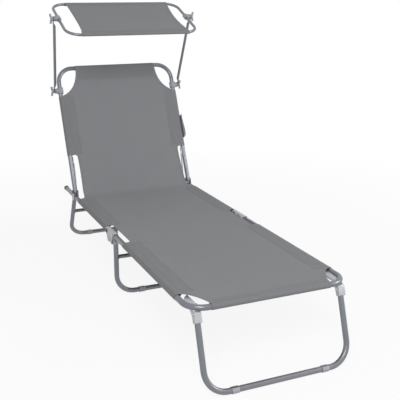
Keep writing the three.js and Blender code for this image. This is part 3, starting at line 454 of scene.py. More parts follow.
@dataclass(frozen=True)
class SewingThread:
    """Twisted polyester thread, a little paler than the cloth."""

    grey: float = 0.3

    def material(self) -> Material:
        """Builds the thread."""
        recipe = Recipe("sewing_thread")
        twist = recipe.noise(recipe.place((1500, 1500, 1500)), 1, 1)
        return recipe.surface(
            Base_Color=recipe.toned(twist, self.grey, PLAIN, 0.2),
            Roughness=0.6,
            Normal=recipe.bump(twist, 0.00005),
        )


def made(finish: object) -> Material:
    """A field that holds the material of a finish."""
    return field(default_factory=finish.material)


@dataclass
class Palette:
    """The finished materials, made once."""

    lacquer: Material = made(SilverLacquer())
    zinc: Material = made(SpangledZinc())
    steel: Material = made(PlatedSteel("bright_steel", 0.55, 0.3))
    dark_steel: Material = made(PlatedSteel("dark_steel", 0.1, 0.06, 0.36))
    cloth: Material = made(WovenCloth())
    thread: Material = made(SewingThread())
    cap: Material = made(MouldedPlastic("cap_plastic", 0.12, PLAIN, 0.42))
    foot: Material = made(MouldedPlastic("foot_plastic", 0.42, COOL, 0.4))
    knob: Material = made(MouldedPlastic("knob_plastic", 0.35, (0.98, 1.0, 1.12), 0.44))


# Modelling tools


def placed(name: str, data: bpy.types.ID) -> Piece:
    """Puts a new object into the scene."""
    thing = bpy.data.objects.new(name, data)
    bpy.context.scene.collection.objects.link(thing)
    return thing


def clear_selection() -> None:
    """Leaves nothing selected, in object mode."""
    if bpy.context.object and bpy.context.object.mode != "OBJECT":
        bpy.ops.object.mode_set(mode="OBJECT")
    bpy.ops.object.select_all(action="DESELECT")


def activate(piece: Piece) -> None:
    """Selects one piece alone."""
    clear_selection()
    piece.select_set(True)
    bpy.context.view_layer.objects.active = piece


def start_editing(piece: Piece) -> None:
    """Goes to edit mode on one piece, with nothing selected."""
    activate(piece)
    bpy.ops.object.mode_set(mode="EDIT")
    bpy.ops.mesh.select_mode(type="VERT")
    bpy.ops.mesh.select_all(action="DESELECT")


def pick(piece: Piece, kind: str, test: Callable[[object], bool]) -> None:
    """Selects in edit mode what passes a test.

    Args:
        piece: the piece that is being edited.
        kind: VERT, EDGE or FACE.
        test: says whether a vertex, edge or face is wanted.
    """
    bpy.ops.mesh.select_mode(type=kind)
    bpy.ops.mesh.select_all(action="DESELECT")
    mesh = bmesh.from_edit_mesh(piece.data)
    items = {"VERT": mesh.verts, "EDGE": mesh.edges, "FACE": mesh.faces}[kind]
    for item in list(items):
        if test(item):
            item.select_set(True)
    bmesh.update_edit_mesh(piece.data)


def pick_all() -> None:
    """Selects everything in edit mode."""
    bpy.ops.mesh.select_all(action="SELECT")


def pushed(*step: float) -> None:
    """Extrudes what is selected by a step along X, Y and Z."""
    bpy.ops.mesh.extrude_region_move(TRANSFORM_OT_translate={"value": step})


def stop_editing(face_out: bool = False) -> None:
    """Goes back to object mode, with all faces turned outwards first where that is asked."""
    if face_out:
        pick_all()
        bpy.ops.mesh.normals_make_consistent(inside=False)
    bpy.ops.object.mode_set(mode="OBJECT")


def apply_modifier(piece: Piece, kind: str, **settings: object) -> None:
    """Adds a modifier and applies it.

    Args:
        piece: the piece to change.
        kind: the modifier's type.
        settings: the modifier's own settings.
    """
    activate(piece)
    modifier = piece.modifiers.new(kind.title(), kind)
    for key, value in settings.items():
        setattr(modifier, key, value)
    bpy.ops.object.modifier_apply(modifier=modifier.name)


def smooth(piece: Piece, angle: float = SMOOTH_ANGLE) -> None:
    """Shades a piece smooth, apart from its real edges."""
    activate(piece)
    bpy.ops.object.shade_smooth_by_angle(angle=angle)


def edged(piece: Piece, width: float, segments: int = 2, everywhere: bool = False) -> None:
    """Breaks a piece's edges and shades it.

    Args:
        piece: the piece.
        width: how wide each broken edge is.
        segments: the faces across a broken edge.
        everywhere: whether flat edges count too.
    """
    limit = "NONE" if everywhere else "ANGLE"
    sizes = {"width": width, "segments": segments, "angle_limit": SMOOTH_ANGLE}
    apply_modifier(piece, "BEVEL", limit_method=limit, **sizes)
    smooth(piece)


def new_primitive(name: str, add: Callable[..., object], **sizes: object) -> Piece:
    """Adds a primitive at its size and place.

    Args:
        name: the piece's name.
        add: the operator that adds it.
        sizes: the operator's own sizes.

    Returns:
        The new object.
    """
    clear_selection()
    add(**sizes)
    piece = bpy.context.object
    piece.name = name
    piece.data.name = name
    bpy.ops.object.transform_apply(location=True, rotation=True, scale=True)
    return piece


def cylinder(name: str, sides: int, radius: float, depth: float, **placing: object) -> Piece:
    """Adds a cylinder, along Z unless its placing turns it."""
    sizes = {"vertices": sides, "radius": radius, "depth": depth}
    return new_primitive(name, bpy.ops.mesh.primitive_cylinder_add, **sizes, **placing)


def block(name: str, middle: Sequence[float], size: Sequence[float]) -> Piece:
    """Adds a block about its middle."""
    return new_primitive(name, bpy.ops.mesh.primitive_cube_add, size=1, location=middle, scale=size)


def plate_of(name: str, place: tuple[float, float, float], size: Point) -> Piece:
    """Lays one level face and goes on editing it, all selected.

    Args:
        name: the piece's name.
        place: the face's middle.
        size: its size along X and Y.

    Returns:
        The new object.
    """
    plate = new_primitive(name, bpy.ops.mesh.primitive_plane_add, size=1, location=place)
    start_editing(plate)
    pick_all()
    bpy.ops.transform.resize(value=(*size, 1), center_override=place)
    return plate


def copied(piece: Piece, name: str, placing: Matrix) -> Piece:
    """Copies a piece with its own mesh.

    Args:
        piece: the piece to copy.
        name: the copy's name.
        placing: where the copy goes.

    Returns:
        The copy.
    """
    twin = placed(name, piece.data.copy())
    twin.data.name = name
    twin.data.transform(placing)
    twin.data.update()
    return twin


def removed(piece: Piece) -> None:
    """Takes a pattern piece out of the scene once its copies are made."""
    bpy.data.objects.remove(piece, do_unlink=True)


def melted(piece: Piece, other: Piece, operation: str = "UNION") -> None:
    """Melts another shape into a piece, or cuts it out, and takes it out of the scene."""
    apply_modifier(piece, "BOOLEAN", operation=operation, object=other, solver="EXACT")
    removed(other)


def dressed(piece: Piece, material: Material, slot: Slot, body: str, nodes: Sequence[str]) -> Piece:
    """Gives a rigid piece its finish and its body.

    Args:
        piece: the finished mesh.
        material: its material.
        slot: not used.
        body: the body that it rides on.
        nodes: the solids that it stands for.

    Returns:
        The piece.
    """
    if not piece.data.materials:
        piece.data.materials.append(material)
    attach(piece, body)
    if nodes:
        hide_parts(*nodes)
    LOG.info("%s rides on %s", piece.name, body)
    return piece


class TubeShaper:
    """Bends a tube as on a bending bench: a ring is pushed straight and turned round each bend."""

    def __init__(
        self, name: str, start: Vector, heading: Vector, radius: float, domed: bool = False
    ) -> None:
        """Draws the first ring.

        Args:
            name: the piece's name.
            start: the middle of the first full ring.
            heading: the way that the tube leaves it.
            radius: the tube's radius.
            domed: whether the end is a dome about the start.
        """
        self.heading = heading.normalized()
        self.radius = radius
        self.now = radius
        self.place = start.copy()
        if domed:
            self.now = radius * math.cos(DOME_ANGLES[-1])
            self.place -= self.heading * radius * math.sin(DOME_ANGLES[-1])
        turn = self.heading.to_track_quat("Z", "Y").to_euler()
        sizes = {"vertices": TUBE_SIDES, "radius": self.now, "location": self.place, "rotation": turn}
        self.piece = new_primitive(name, bpy.ops.mesh.primitive_circle_add, **sizes)
        start_editing(self.piece)
        pick_all()
        if domed:
            self.rounded(DOME_ANGLES[::-1])

    def straight(self, length: float) -> "TubeShaper":
        """Pushes the tube straight on by length metres."""
        step = self.heading * length
        pushed(*step)
        self.place += step
        return self

    def swell(self, length: float, radius: float) -> "TubeShaper":
        """Pushes the tube on while its radius changes.

        Args:
            length: how far on the next ring is.
            radius: the next ring's radius.

        Returns:
            This shaper.
        """
        self.straight(length)
        share = radius / self.now
        bpy.ops.transform.resize(value=(share, share, share), center_override=self.place)
        self.now = radius
        return self

    def bend(self, angle: float, radius: float, axis: Vector) -> "TubeShaper":
        """Turns the tube round a bend.

        Args:
            angle: how far it turns, by the right-hand rule about the axis.
            radius: the bend's radius.
            axis: the bend's axis.

        Returns:
            This shaper.
        """
        centre = self.place + axis.cross(self.heading) * radius
        bpy.ops.mesh.spin(steps=BEND_STEPS, angle=-angle, center=centre, axis=axis)
        turn = Matrix.Rotation(angle, 3, axis)
        self.place = centre + turn @ (self.place - centre)
        self.heading = turn @ self.heading
        return self

    def turned(self, *profile: Point) -> "TubeShaper":
        """Swells through lengths and radii."""
        for length, radius in profile:
            self.swell(length, radius)
        return self

    def rounded(self, angles: Sequence[float]) -> "TubeShaper":
        """Goes along a dome, through rings at angles from its rim."""
        sines = [self.radius * math.sin(angle) for angle in angles]
        lengths = [abs(b - a) for a, b in zip(sines, sines[1:])]
        return self.turned(*zip(lengths, [self.radius * math.cos(angle) for angle in angles[1:]]))

    def finish(self) -> Piece:
        """Closes the tube's ends and shades it."""
        pick_all()
        bpy.ops.mesh.remove_doubles(threshold=MERGE_DISTANCE)
        pick_all()
        bpy.ops.mesh.fill_holes(sides=0)
        stop_editing(face_out=True)
        smooth(self.piece)
        return self.piece


def bow(
    name: str,
    ends: tuple[Vector, Vector],
    run: float,
    span: float,
    corner: float,
    radius: float,
    domed: bool = True,
) -> Piece:
    """Bends a tube into a U that crosses along +X.

    Args:
        name: the piece's name.
        ends: the middle of the left end, and the way that the left side runs.
        run: from the ends to the axis of the cross bar.
        span: between the two sides' axes.
        corner: the bends' radius.
        radius: the tube's radius.
        domed: whether the ends are domes about their middles.

    Returns:
        The tube.
    """
    axis = ends[1].cross(ACROSS).normalized()
    tube = TubeShaper(name, *ends, radius, domed)
    tube.straight(run - corner).bend(QUARTER, corner, axis)
    tube.straight(span - 2 * corner).bend(QUARTER, corner, axis)
    tube.straight(run - corner)
    if domed:
        tube.rounded(DOME_ANGLES)
    return tube.finish()


def drilled(piece: Piece, start: Vector, way: Vector, length: float, radius: float) -> None:
    """Drills a round hole of a length and a radius, from its start along its way."""
    melted(piece, TubeShaper("drill", start, way, radius).straight(length).finish(), "DIFFERENCE")


def softened(
    stem: str,
    name: str,
    side: Side,
    body: str,
    look: tuple[Material, Slot],
    bevel: float,
    segments: int = 2,
    change: Callable[[Piece, Side], None] | None = None,
) -> None:
    """Takes a solid's shape, breaks its edges, shades it and dresses it.

    Args:
        stem: the solid's name without the side.
        name: the new piece's name without the side.
        side: the side that it is on.
        body: the body that it rides on.
        look: its material and its slot.
        bevel: how wide each broken edge is.
        segments: the faces across a broken edge.
        change: what is still done to the piece.
    """
    node = f"{stem}_{side.label}"
    piece = placed(f"{name}_{side.label}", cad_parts[node].data.copy())
    piece.data.name = piece.name
    piece.data.materials.clear()
    start_editing(piece)
    pick_all()
    bpy.ops.mesh.remove_doubles(threshold=MERGE_DISTANCE)
    bpy.ops.mesh.dissolve_limited(angle_limit=FLAT_ANGLE)
    stop_editing()
    edged(piece, bevel, segments)
    if change:
        change(piece, side)
    dressed(piece, *look, body, [node])


# The lounger's plan


@dataclass
class Plan:
    """The named sizes of the lounger, as in its source, in metres."""

    tube: float = 9.5 * MM
    crossbar: float = 8 * MM
    shade_tube: float = 6 * MM
    rail_z: float = 260 * MM
    rail_x: float = 272 * MM
    frame_corner: float = 60 * MM
    foot_length: float = 723 * MM
    pin_spacing: float = 64 * MM
    seat_length: float = 509 * MM
    rail_stub: float = 163 * MM
    leg_drop: float = 20 * MM
    leg_corner: float = 72 * MM
    bottom_bar: float = 11 * MM
    front_leg_at: float = 7.4 * MM
    front_leg_reach: float = 75.4 * MM
    front_leg_x: float = 249 * MM
    middle_leg_x: float = 258 * MM
    middle_leg_top: float = 268.9 * MM
    middle_crossbar_z: float = 160 * MM
    rear_leg_inset: float = 67.3 * MM
    rear_leg_reach: float = 123.3 * MM
    rear_leg_x: float = 250.7 * MM
    rear_crossbar_z: float = 150 * MM
    back_rise: float = 21.5 * MM
    back_angle: float = math.radians(65.83)
    back_length: float = 567.6 * MM
    back_corner: float = 66 * MM
    arm_pivot: float = 465.5 * MM
    arm_length: float = 343.5 * MM
    arm_lean: float = math.radians(20.6)
    arm_low_x: float = 299 * MM
    arm_high_x: float = 314.6 * MM
    eye_thickness: float = 3 * MM
    eye_radius: float = 8.5 * MM
    shade_tilt: float = math.radians(22.16)
    shade_x: float = 292 * MM
    shade_front: float = 158 * MM
    shade_back: float = 144.2 * MM
    shade_corner: float = 57 * MM
    foot_bar_y: float = 0.0

    def __post_init__(self) -> None:
        """Works out the pins, the pivots and the ways along and off each slanting part."""
        self.front_pin = Vector((0, self.foot_bar_y + self.foot_length, self.rail_z))
        self.rear_pin = self.front_pin + AHEAD * self.pin_spacing
        self.back_pivot = self.rear_pin + Vector((0, self.seat_length, self.back_rise))
        self.rail_end = self.back_pivot.y + self.rail_stub
        self.along_back, self.off_back = slanting(self.back_angle), slanting(self.back_angle + QUARTER)
        self.along_arm = slanting(self.arm_lean + QUARTER)
        self.arm_low = self.back_pivot + self.along_back * self.arm_pivot
        self.arm_high = self.arm_low + self.along_arm * self.arm_length
        self.along_shade, self.off_shade = slanting(self.shade_tilt), slanting(self.shade_tilt + QUARTER)
        self.leg_pivot_z = self.rail_z - self.leg_drop
        self.front_leg_y = self.foot_bar_y + self.front_leg_at
        self.rear_leg_y = self.rail_end - self.rear_leg_inset
        self.middle_leg_y = (self.front_pin.y + self.rear_pin.y) / 2


def read_plan() -> Plan:
    """Sets the plan's place along the lounger from the frame."""
    low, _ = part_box("foot_frame_tube")
    return Plan(foot_bar_y=low.y + Plan.tube)


@dataclass
class Builder:
    """What a group of pieces is built from: the plan and the finishes."""

    plan: Plan
    palette: Palette

    def painted(self, tube: Piece, body: str, node: str) -> None:
        """Gives a tube its lacquer."""
        dressed(tube, self.palette.lacquer, Slot.FRAME, body, [node])

    def pressed(self, plate: Piece, body: str) -> None:
        """Gives a plate that the record has no solid for its zinc."""
        dressed(plate, self.palette.zinc, Slot.BRACKET, body, [])


# Frame and legs


@dataclass
class Undercarriage(Builder):
    """The rails, the legs, their crossbars, feet and caps."""

    weld: float = 1.6 * MM
    cap_play: float = 0.3 * MM
    cap_wall: float = 1.1 * MM
    cap_grip: float = 14 * MM
    cap_crown: float = 4 * MM
    cap_round: float = 2.6 * MM

    def build(self) -> None:
        """Builds and dresses the whole undercarriage."""
        self.foot_frame()
        self.legs()
        for side in Side:
            self.seat_rail(side)
            self.rail_cap(side)
        self.feet()

    def foot_frame(self) -> None:
        """Bends the foot section's frame."""
        plan = self.plan
        ends = (plan.front_pin - ACROSS * plan.rail_x, -AHEAD)
        sizes = (plan.foot_length, 2 * plan.rail_x, plan.frame_corner, plan.tube)
        self.painted(bow("foot_frame_bow", ends, *sizes), "foot_section", "foot_frame_tube")

    def seat_rail(self, side: Side) -> None:
        """Draws one seat rail, from its hinge pin to its capped end."""
        plan = self.plan
        start = plan.rear_pin + ACROSS * (side.value * plan.rail_x)
        shaper = TubeShaper(f"seat_rail_bar_{side.label}", start, AHEAD, plan.tube, True)
        shaper.straight(plan.rail_end - plan.rear_pin.y)
        self.painted(shaper.finish(), "seat", f"seat_rail_{side.label}")

    def rail_cap(self, side: Side) -> None:
        """Turns one cap: a thimble with a rounded crown over the rail's end."""
        plan = self.plan
        outer = plan.tube + self.cap_play + self.cap_wall
        depth = self.cap_grip + self.cap_crown
        middle = plan.rail_end + (self.cap_crown - self.cap_grip) / 2
        placing = {"location": (side.value * plan.rail_x, middle, plan.rail_z), "rotation": (QUARTER, 0, 0)}
        cap = cylinder(f"rail_thimble_{side.label}", TUBE_SIDES, outer, depth, **placing)
        start_editing(cap)
        pick(cap, "FACE", lambda face: face.normal.y < -0.9)
        bpy.ops.mesh.inset(thickness=self.cap_wall)
        pushed(0, self.cap_grip - self.cap_play, 0)
        tip = plan.rail_end + self.cap_crown
        pick(cap, "EDGE", lambda edge: all(abs(v.co.y - tip) < NEAR for v in edge.verts))
        bpy.ops.mesh.bevel(offset=self.cap_round, segments=5, affect="EDGES")
        stop_editing()
        edged(cap, 0.25 * MM)
        dressed(cap, self.palette.cap, Slot.CAP, "seat", [f"rail_end_cap_{side.label}"])

    def leg(self, name: str, half: float, pivot: Vector, foot_y: float, domed: bool) -> Vector:
        """Bends one leg.

        Args:
            name: the leg's name.
            half: from the middle to each side's axis.
            pivot: the top of the leg, on the middle plane.
            foot_y: where its bottom bar stands.
            domed: whether its ends turn in brackets.

        Returns:
            The way down the leg.
        """
        plan = self.plan
        down = Vector((0, foot_y, plan.bottom_bar)) - pivot
        ends = (pivot - ACROSS * half, down.normalized())
        tube = bow(f"{name}_bow", ends, down.length, 2 * half, plan.leg_corner, plan.tube, domed)
        self.painted(tube, name, f"{name}_tube")
        return down

    def crossbar(self, name: str, half: float, place: Vector) -> None:
        """Draws a crossbar with a weld bead at each end.

        Args:
            name: the leg's name.
            half: from the middle to each leg side's axis.
            place: the bar's middle.
        """
        plan = self.plan
        reach = half - plan.tube * 0.8
        fat = plan.crossbar + self.weld
        radii = [fat, fat - 0.3 * self.weld, plan.crossbar + 0.2 * self.weld, plan.crossbar]
        bead = [(self.weld, radius) for radius in radii]
        shaper = TubeShaper(f"{name}_stay", place - ACROSS * reach, ACROSS, fat)
        shaper.turned(*bead[1:]).straight(2 * reach - 6 * self.weld).turned(*bead[-2::-1])
        self.painted(shaper.finish(), name, f"{name}_crossbar")

    def legs(self) -> None:
        """Bends the three legs and sets their crossbars."""
        plan = self.plan
        front, rear = (Vector((0, y, plan.leg_pivot_z)) for y in (plan.front_leg_y, plan.rear_leg_y))
        top = Vector((0, plan.middle_leg_y, plan.middle_leg_top))
        self.leg("front_leg", plan.front_leg_x, front, front.y - plan.front_leg_reach, True)
        down = self.leg("rear_leg", plan.rear_leg_x, rear, rear.y + plan.rear_leg_reach, True)
        share = (rear.z - plan.rear_crossbar_z) / (rear.z - plan.bottom_bar)
        self.crossbar("rear_leg", plan.rear_leg_x, rear + down * share)
        self.leg("middle_leg", plan.middle_leg_x, top, top.y, False)
        self.crossbar("middle_leg", plan.middle_leg_x, Vector((0, top.y, plan.middle_crossbar_z)))

    def feet(self) -> None:
        """Breaks the edges of the snap-on feet."""
        look = (self.palette.foot, Slot.FOOT)
        for leg in ("front_leg", "middle_leg", "rear_leg"):
            for side in Side:
                softened(f"{leg}_foot", f"{leg}_clip", side, leg, look, 0.4 * MM)


# Hinges, brackets, rivets and props


@dataclass
class Fittings(Builder):
    """The pressed brackets, hinges, notch plates, props, rivets and pins."""

    edge: float = 0.35 * MM
    head_radius: float = 5.5 * MM
    head_height: float = 1.8 * MM
    shank: float = 3 * MM
    channel_half: float = 11.8 * MM
    channel_roundness: float = 0.8
    skirt_drop: float = 15 * MM
    skirt_draw: float = 13.4 * MM
    skirt_more: float = 10 * MM
    skirt_hold: float = 9.5 * MM
    hood_turn: float = math.radians(78)
    gusset_drop: float = 34 * MM
    cradle_start: float = 17 * MM
    cradle_length: float = 104 * MM
    cradle_width: float = 24.4 * MM
    cradle_depth: float = 7 * MM
    cradle_top: float = 261 * MM

    def build(self) -> None:
        """Builds and dresses every fitting."""
        for side in Side:
            self.pressings(side)
        for side in Side:
            self.cradle(side)
            self.hood(side)
            self.gusset(side)
        self.rivets()
        for side in Side:
            look = (self.palette.steel, Slot.RIVET)
            softened("prop_pin", "prop_pivot", side, "seat", look, 0.3 * MM, 3)

    def pressings(self, side: Side) -> None:
        """Dresses the parts that are pressed from sheet steel."""
        zinc = (self.palette.zinc, Slot.BRACKET)
        parts = [
            ("hinge_channel", "middle_leg", self.draw_in),
            ("front_leg_bracket", "foot_section", None),
            ("rear_leg_bracket", "seat", None),
            ("backrest_hinge", "seat", None),
            ("notch_plate", "backrest", None),
        ]
        for stem, body, change in parts:
            softened(stem, f"{stem}_pressing", side, body, zinc, self.edge, change=change)
        softened("prop_bar", "prop_strut", side, f"prop_{side.label}", zinc, self.edge)

    def draw_in(self, channel: Piece, side: Side) -> None:
        """Rounds a hinge channel over its rail and presses its skirt in to the middle leg.

        Args:
            channel: the copy of the channel.
            side: the side that it is on.
        """
        plan = self.plan
        centre = (plan.front_pin + plan.rear_pin) / 2 + ACROSS * (side.value * plan.rail_x)
        start_editing(channel)
        cuts = [(ACROSS, self.channel_half * (i / 5 - 1)) for i in range(1, 10)]
        cuts += [(UP, -plan.tube - self.skirt_drop * i / 8) for i in range(9)]
        ways = [i * self.skirt_hold / 4 for i in (-9, -7, -5.5, -4, 4, 5.5, 7, 9)]
        cuts += [(AHEAD, place) for place in ways]
        for way, place in cuts:
            pick_all()
            bpy.ops.mesh.bisect(plane_co=centre + way * place, plane_no=way)
        stop_editing()
        for vertex in channel.data.vertices:
            across, along, above = vertex.co - centre
            if above > 0:
                reach = max(abs(across), above) / max(math.hypot(across, above), MM)
                share = (reach - 1) * self.channel_roundness
                vertex.co += Vector((across, 0, above)) * share
                continue
            drop = eased((-above - plan.tube) / self.skirt_drop)
            vertex.co.z -= self.skirt_more * drop
            if across * side.value > 0:
                near = eased((self.skirt_hold * 2.25 - abs(along)) / (self.skirt_hold * 1.25))
                vertex.co.x -= side.value * self.skirt_draw * drop * near
        smooth(channel)

    def gusset(self, side: Side) -> None:
        """Sets the tapered plate that closes a hinge channel's skirt in front of the middle leg.

        Args:
            side: the side that it is on.
        """
        plan = self.plan
        inner, outer = plan.middle_leg_x - plan.tube, plan.rail_x + self.channel_half
        high, wall = plan.rail_z - plan.tube - MM, 1.6 * MM
        width, height = outer - inner, self.gusset_drop
        y = plan.middle_leg_y - plan.tube - 0.4 * MM - wall / 2
        middle = (side.value * (inner + width / 2), y, high - height / 2)
        plate = block(f"hinge_gusset_{side.label}", middle, (width, wall, height))
        start_editing(plate)
        pick(plate, "FACE", lambda face: face.normal.z < -0.9)
        share = (2 * plan.tube + 0.8 * MM) / width
        corner = (side.value * inner, y, high - height)
        bpy.ops.transform.resize(value=(share, 1, 1), center_override=corner)
        stop_editing()
        edged(plate, 0.5 * MM, 3, everywhere=True)
        self.pressed(plate, "middle_leg")

    def hood(self, side: Side) -> None:
        """Presses the front leg bracket's web on over the leg's rounded end, up to the frame.

        Args:
            side: the side that it is on.
        """
        plan = self.plan
        pivot = Vector((0, plan.front_leg_y, plan.leg_pivot_z))
        lean = math.atan2(plan.front_leg_reach, pivot.z - plan.bottom_bar)
        wall, inner = 1.3 * MM, plan.tube + 0.3 * MM
        half = inner + 1.7 * MM
        x, lip = side.value * plan.front_leg_x, 1.5 * MM
        spot = (x, pivot.y - inner - wall / 2, pivot.z - lip)
        hood = plate_of(f"front_leg_hood_{side.label}", spot, (2 * half, wall))
        pushed(0, 0, lip)
        bpy.ops.mesh.spin(steps=14, angle=self.hood_turn, center=(x, pivot.y, pivot.z), axis=(1, 0, 0))
        stop_editing(face_out=True)
        lean_turn = Matrix.Rotation(-lean, 4, "X")
        hood.data.transform(Matrix.Translation(pivot) @ lean_turn @ Matrix.Translation(-pivot))
        self.cleared(hood, side)
        self.pressed(hood, "foot_section")

    def cleared(self, piece: Piece, side: Side) -> None:
        """Cuts the frame's bent corner out of a piece and breaks the piece's edges."""
        plan = self.plan
        x, y = side.value * (plan.rail_x - plan.frame_corner), plan.foot_bar_y + plan.frame_corner
        corner = new_primitive(
            "corner_clearance",
            bpy.ops.mesh.primitive_torus_add,
            location=(x, y, plan.rail_z),
            major_radius=plan.frame_corner,
            minor_radius=plan.tube + 0.4 * MM,
            major_segments=96,
            minor_segments=24,
        )
        melted(piece, corner, "DIFFERENCE")
        edged(piece, 0.3 * MM)

    def cradle(self, side: Side) -> None:
        """Presses the channel that the front leg folds into, inside the bent corner of the frame.

        Args:
            side: the side that it is on.
        """
        plan = self.plan
        x = side.value * plan.front_leg_x
        place = (x, plan.foot_bar_y + self.cradle_start + self.cradle_length / 2, self.cradle_top)
        size = (self.cradle_width, self.cradle_length)
        cradle = plate_of(f"front_leg_cradle_{side.label}", place, size)
        half = self.cradle_width / 2

        def lengthwise(edge: bmesh.types.BMEdge) -> bool:
            """Whether an edge runs along the channel."""
            return abs(edge.verts[0].co.y - edge.verts[1].co.y) > half

        pick(cradle, "EDGE", lengthwise)
        pushed(0, 0, -self.cradle_depth)
        high = self.cradle_top - NEAR
        pick(cradle, "EDGE", lambda edge: lengthwise(edge) and edge.verts[0].co.z > high)
        bpy.ops.mesh.bevel(offset=2.6 * MM, segments=4, affect="EDGES")
        stop_editing(face_out=True)
        apply_modifier(cradle, "SOLIDIFY", thickness=1.7 * MM, offset=0.0)
        self.cleared(cradle, side)
        self.pressed(cradle, "foot_section")

    def rivet_pattern(self, half: float) -> Piece:
        """Models one rivet along X about the origin, with a domed head at each end.

        Args:
            half: from its middle to the inner face of each head.

        Returns:
            The pattern.
        """
        rivet = cylinder("rivet_pattern", 24, self.shank, 2 * half, rotation=(0, QUARTER, 0))
        start_editing(rivet)
        grow = self.head_radius / self.shank
        for way in (-1, 1):
            pick(rivet, "FACE", lambda face: face.normal.x * way > 0.9)
            pushed(0, 0, 0)
            bpy.ops.transform.resize(value=(1, grow, grow), center_override=(way * half, 0, 0))
            pushed(way * self.head_height, 0, 0)
            end = way * (half + self.head_height)
            pick(rivet, "EDGE", lambda edge: all(abs(v.co.x - end) < NEAR for v in edge.verts))
            bpy.ops.mesh.bevel(offset=1.5 * MM, segments=4, affect="EDGES")
        stop_editing(face_out=True)
        smooth(rivet)
        return rivet

    def rivets(self) -> None:
        """Sets a copy of a rivet at each pivot."""
        plan, z = self.plan, self.plan.leg_pivot_z
        wide, narrow = 12.1 * MM, 11.8 * MM
        places = [
            ("hinge_rivet_front", "middle_leg", wide, plan.rail_x, plan.front_pin),
            ("hinge_rivet_rear", "middle_leg", wide, plan.rail_x, plan.rear_pin),
            ("backrest_rivet", "seat", wide, plan.rail_x, plan.back_pivot),
            ("front_leg_rivet", "foot_section", narrow, plan.front_leg_x, (0, plan.front_leg_y, z)),
            ("rear_leg_rivet", "seat", narrow, plan.rear_leg_x, (0, plan.rear_leg_y, z)),
        ]
        for stem, body, half, across, place in places:
            dark = stem in ("backrest_rivet", "hinge_rivet_rear")
            finish = self.palette.dark_steel if dark else self.palette.steel
            pattern = self.rivet_pattern(half)
            for side in Side:
                centre = Vector(place) + ACROSS * (side.value * across)
                twin = copied(pattern, f"{stem}_domed_{side.label}", Matrix.Translation(centre))
                dressed(twin, finish, Slot.RIVET, body, [f"{stem}_{side.label}"])
            removed(pattern)


# Shade frame, arms, clamps and nuts


@dataclass
class Superstructure(Builder):
    """The backrest's bow, the canopy arms and the shade's frame."""

    flat_length: float = 16 * MM
    flare_length: float = 18 * MM
    arm_rings: int = 90
    eye_bore: float = 3.15 * MM

    def build(self) -> None:
        """Builds and dresses the whole superstructure."""
        self.backrest_bow()
        self.shade_loop()
        for side in Side:
            self.canopy_arm(side)

    def backrest_bow(self) -> None:
        """Bends the backrest's tube."""
        plan = self.plan
        ends = (plan.back_pivot - ACROSS * plan.rail_x, plan.along_back)
        tube = bow("backrest_bow", ends, plan.back_length, 2 * plan.rail_x, plan.back_corner, plan.tube)
        self.painted(tube, "backrest", "backrest_tube")

    def shade_loop(self) -> None:
        """Bends the shade's frame from one length, closed at the middle of its front bar."""
        plan = self.plan
        corner, axis = plan.shade_corner, plan.off_shade
        start = plan.arm_high - plan.along_shade * plan.shade_front
        depth = plan.shade_front + plan.shade_back
        half = plan.shade_x - corner
        tube = TubeShaper("shade_loop", start, ACROSS, plan.shade_tube)
        for run in (half, depth - 2 * corner, 2 * half, depth - 2 * corner):
            tube.straight(run).bend(QUARTER, corner, axis)
        tube.straight(half)
        self.painted(tube.finish(), "shade", "shade_frame")

    def arm_section(self, height: float) -> tuple[float, float, float, float]:
        """The arm's section at a height above its lower eye.

        Args:
            height: the height along the arm.

        Returns:
            Half its thickness, half its width, how far its middle lies inwards and how square it is.
        """
        plan = self.plan
        end = min(height, plan.arm_length - height)
        share = eased((end - self.flat_length) / self.flare_length)
        flat = plan.eye_thickness / 2
        thick = flat + (plan.shade_tube - flat) * share
        wide = plan.eye_radius + (plan.shade_tube - plan.eye_radius) * share
        if end < 0:
            wide *= math.sqrt(max(1 - (end / plan.eye_radius) ** 2, 0.02))
        inwards = (plan.shade_tube - flat) * share
        return thick, wide, inwards, 0.42 + 0.58 * share

    def canopy_arm(self, side: Side) -> None:
        """Presses a tube's ends flat, flush with its outer side, and leans it outwards."""
        plan = self.plan
        reach, middle = plan.arm_length + 2 * plan.eye_radius, (0, 0, plan.arm_length / 2)
        arm = cylinder(f"canopy_strut_{side.label}", 24, plan.shade_tube, reach, location=middle)
        start_editing(arm)
        pick(arm, "EDGE", lambda edge: abs(edge.verts[0].co.z - edge.verts[1].co.z) > MM)
        bpy.ops.mesh.subdivide(number_cuts=self.arm_rings)
        stop_editing()
        slope = (plan.arm_high_x - plan.arm_low_x) / plan.arm_length
        origin = plan.arm_low
        for vertex in arm.data.vertices:
            height = vertex.co.z
            thick, wide, inwards, square = self.arm_section(height)
            parts = (vertex.co.x / plan.shade_tube, vertex.co.y / plan.shade_tube)
            level, breadth = (math.copysign(abs(part) ** square, part) for part in parts)
            x = plan.arm_low_x + slope * height - inwards + side.value * thick * level
            away = plan.along_arm * height - plan.along_arm.cross(ACROSS) * (wide * breadth)
            vertex.co = origin + away + ACROSS * (side.value * x)
        start_editing(arm)
        stop_editing(face_out=True)
        for height in (0.0, plan.arm_length):
            eye = origin + plan.along_arm * height
            outside = ACROSS * (side.value * (plan.arm_low_x + slope * height + 6 * MM))
            drilled(arm, eye + outside, ACROSS * -side.value, 12 * MM, self.eye_bore)
        smooth(arm, math.radians(50))
        self.painted(arm, "canopy_arms", f"canopy_arm_{side.label}")


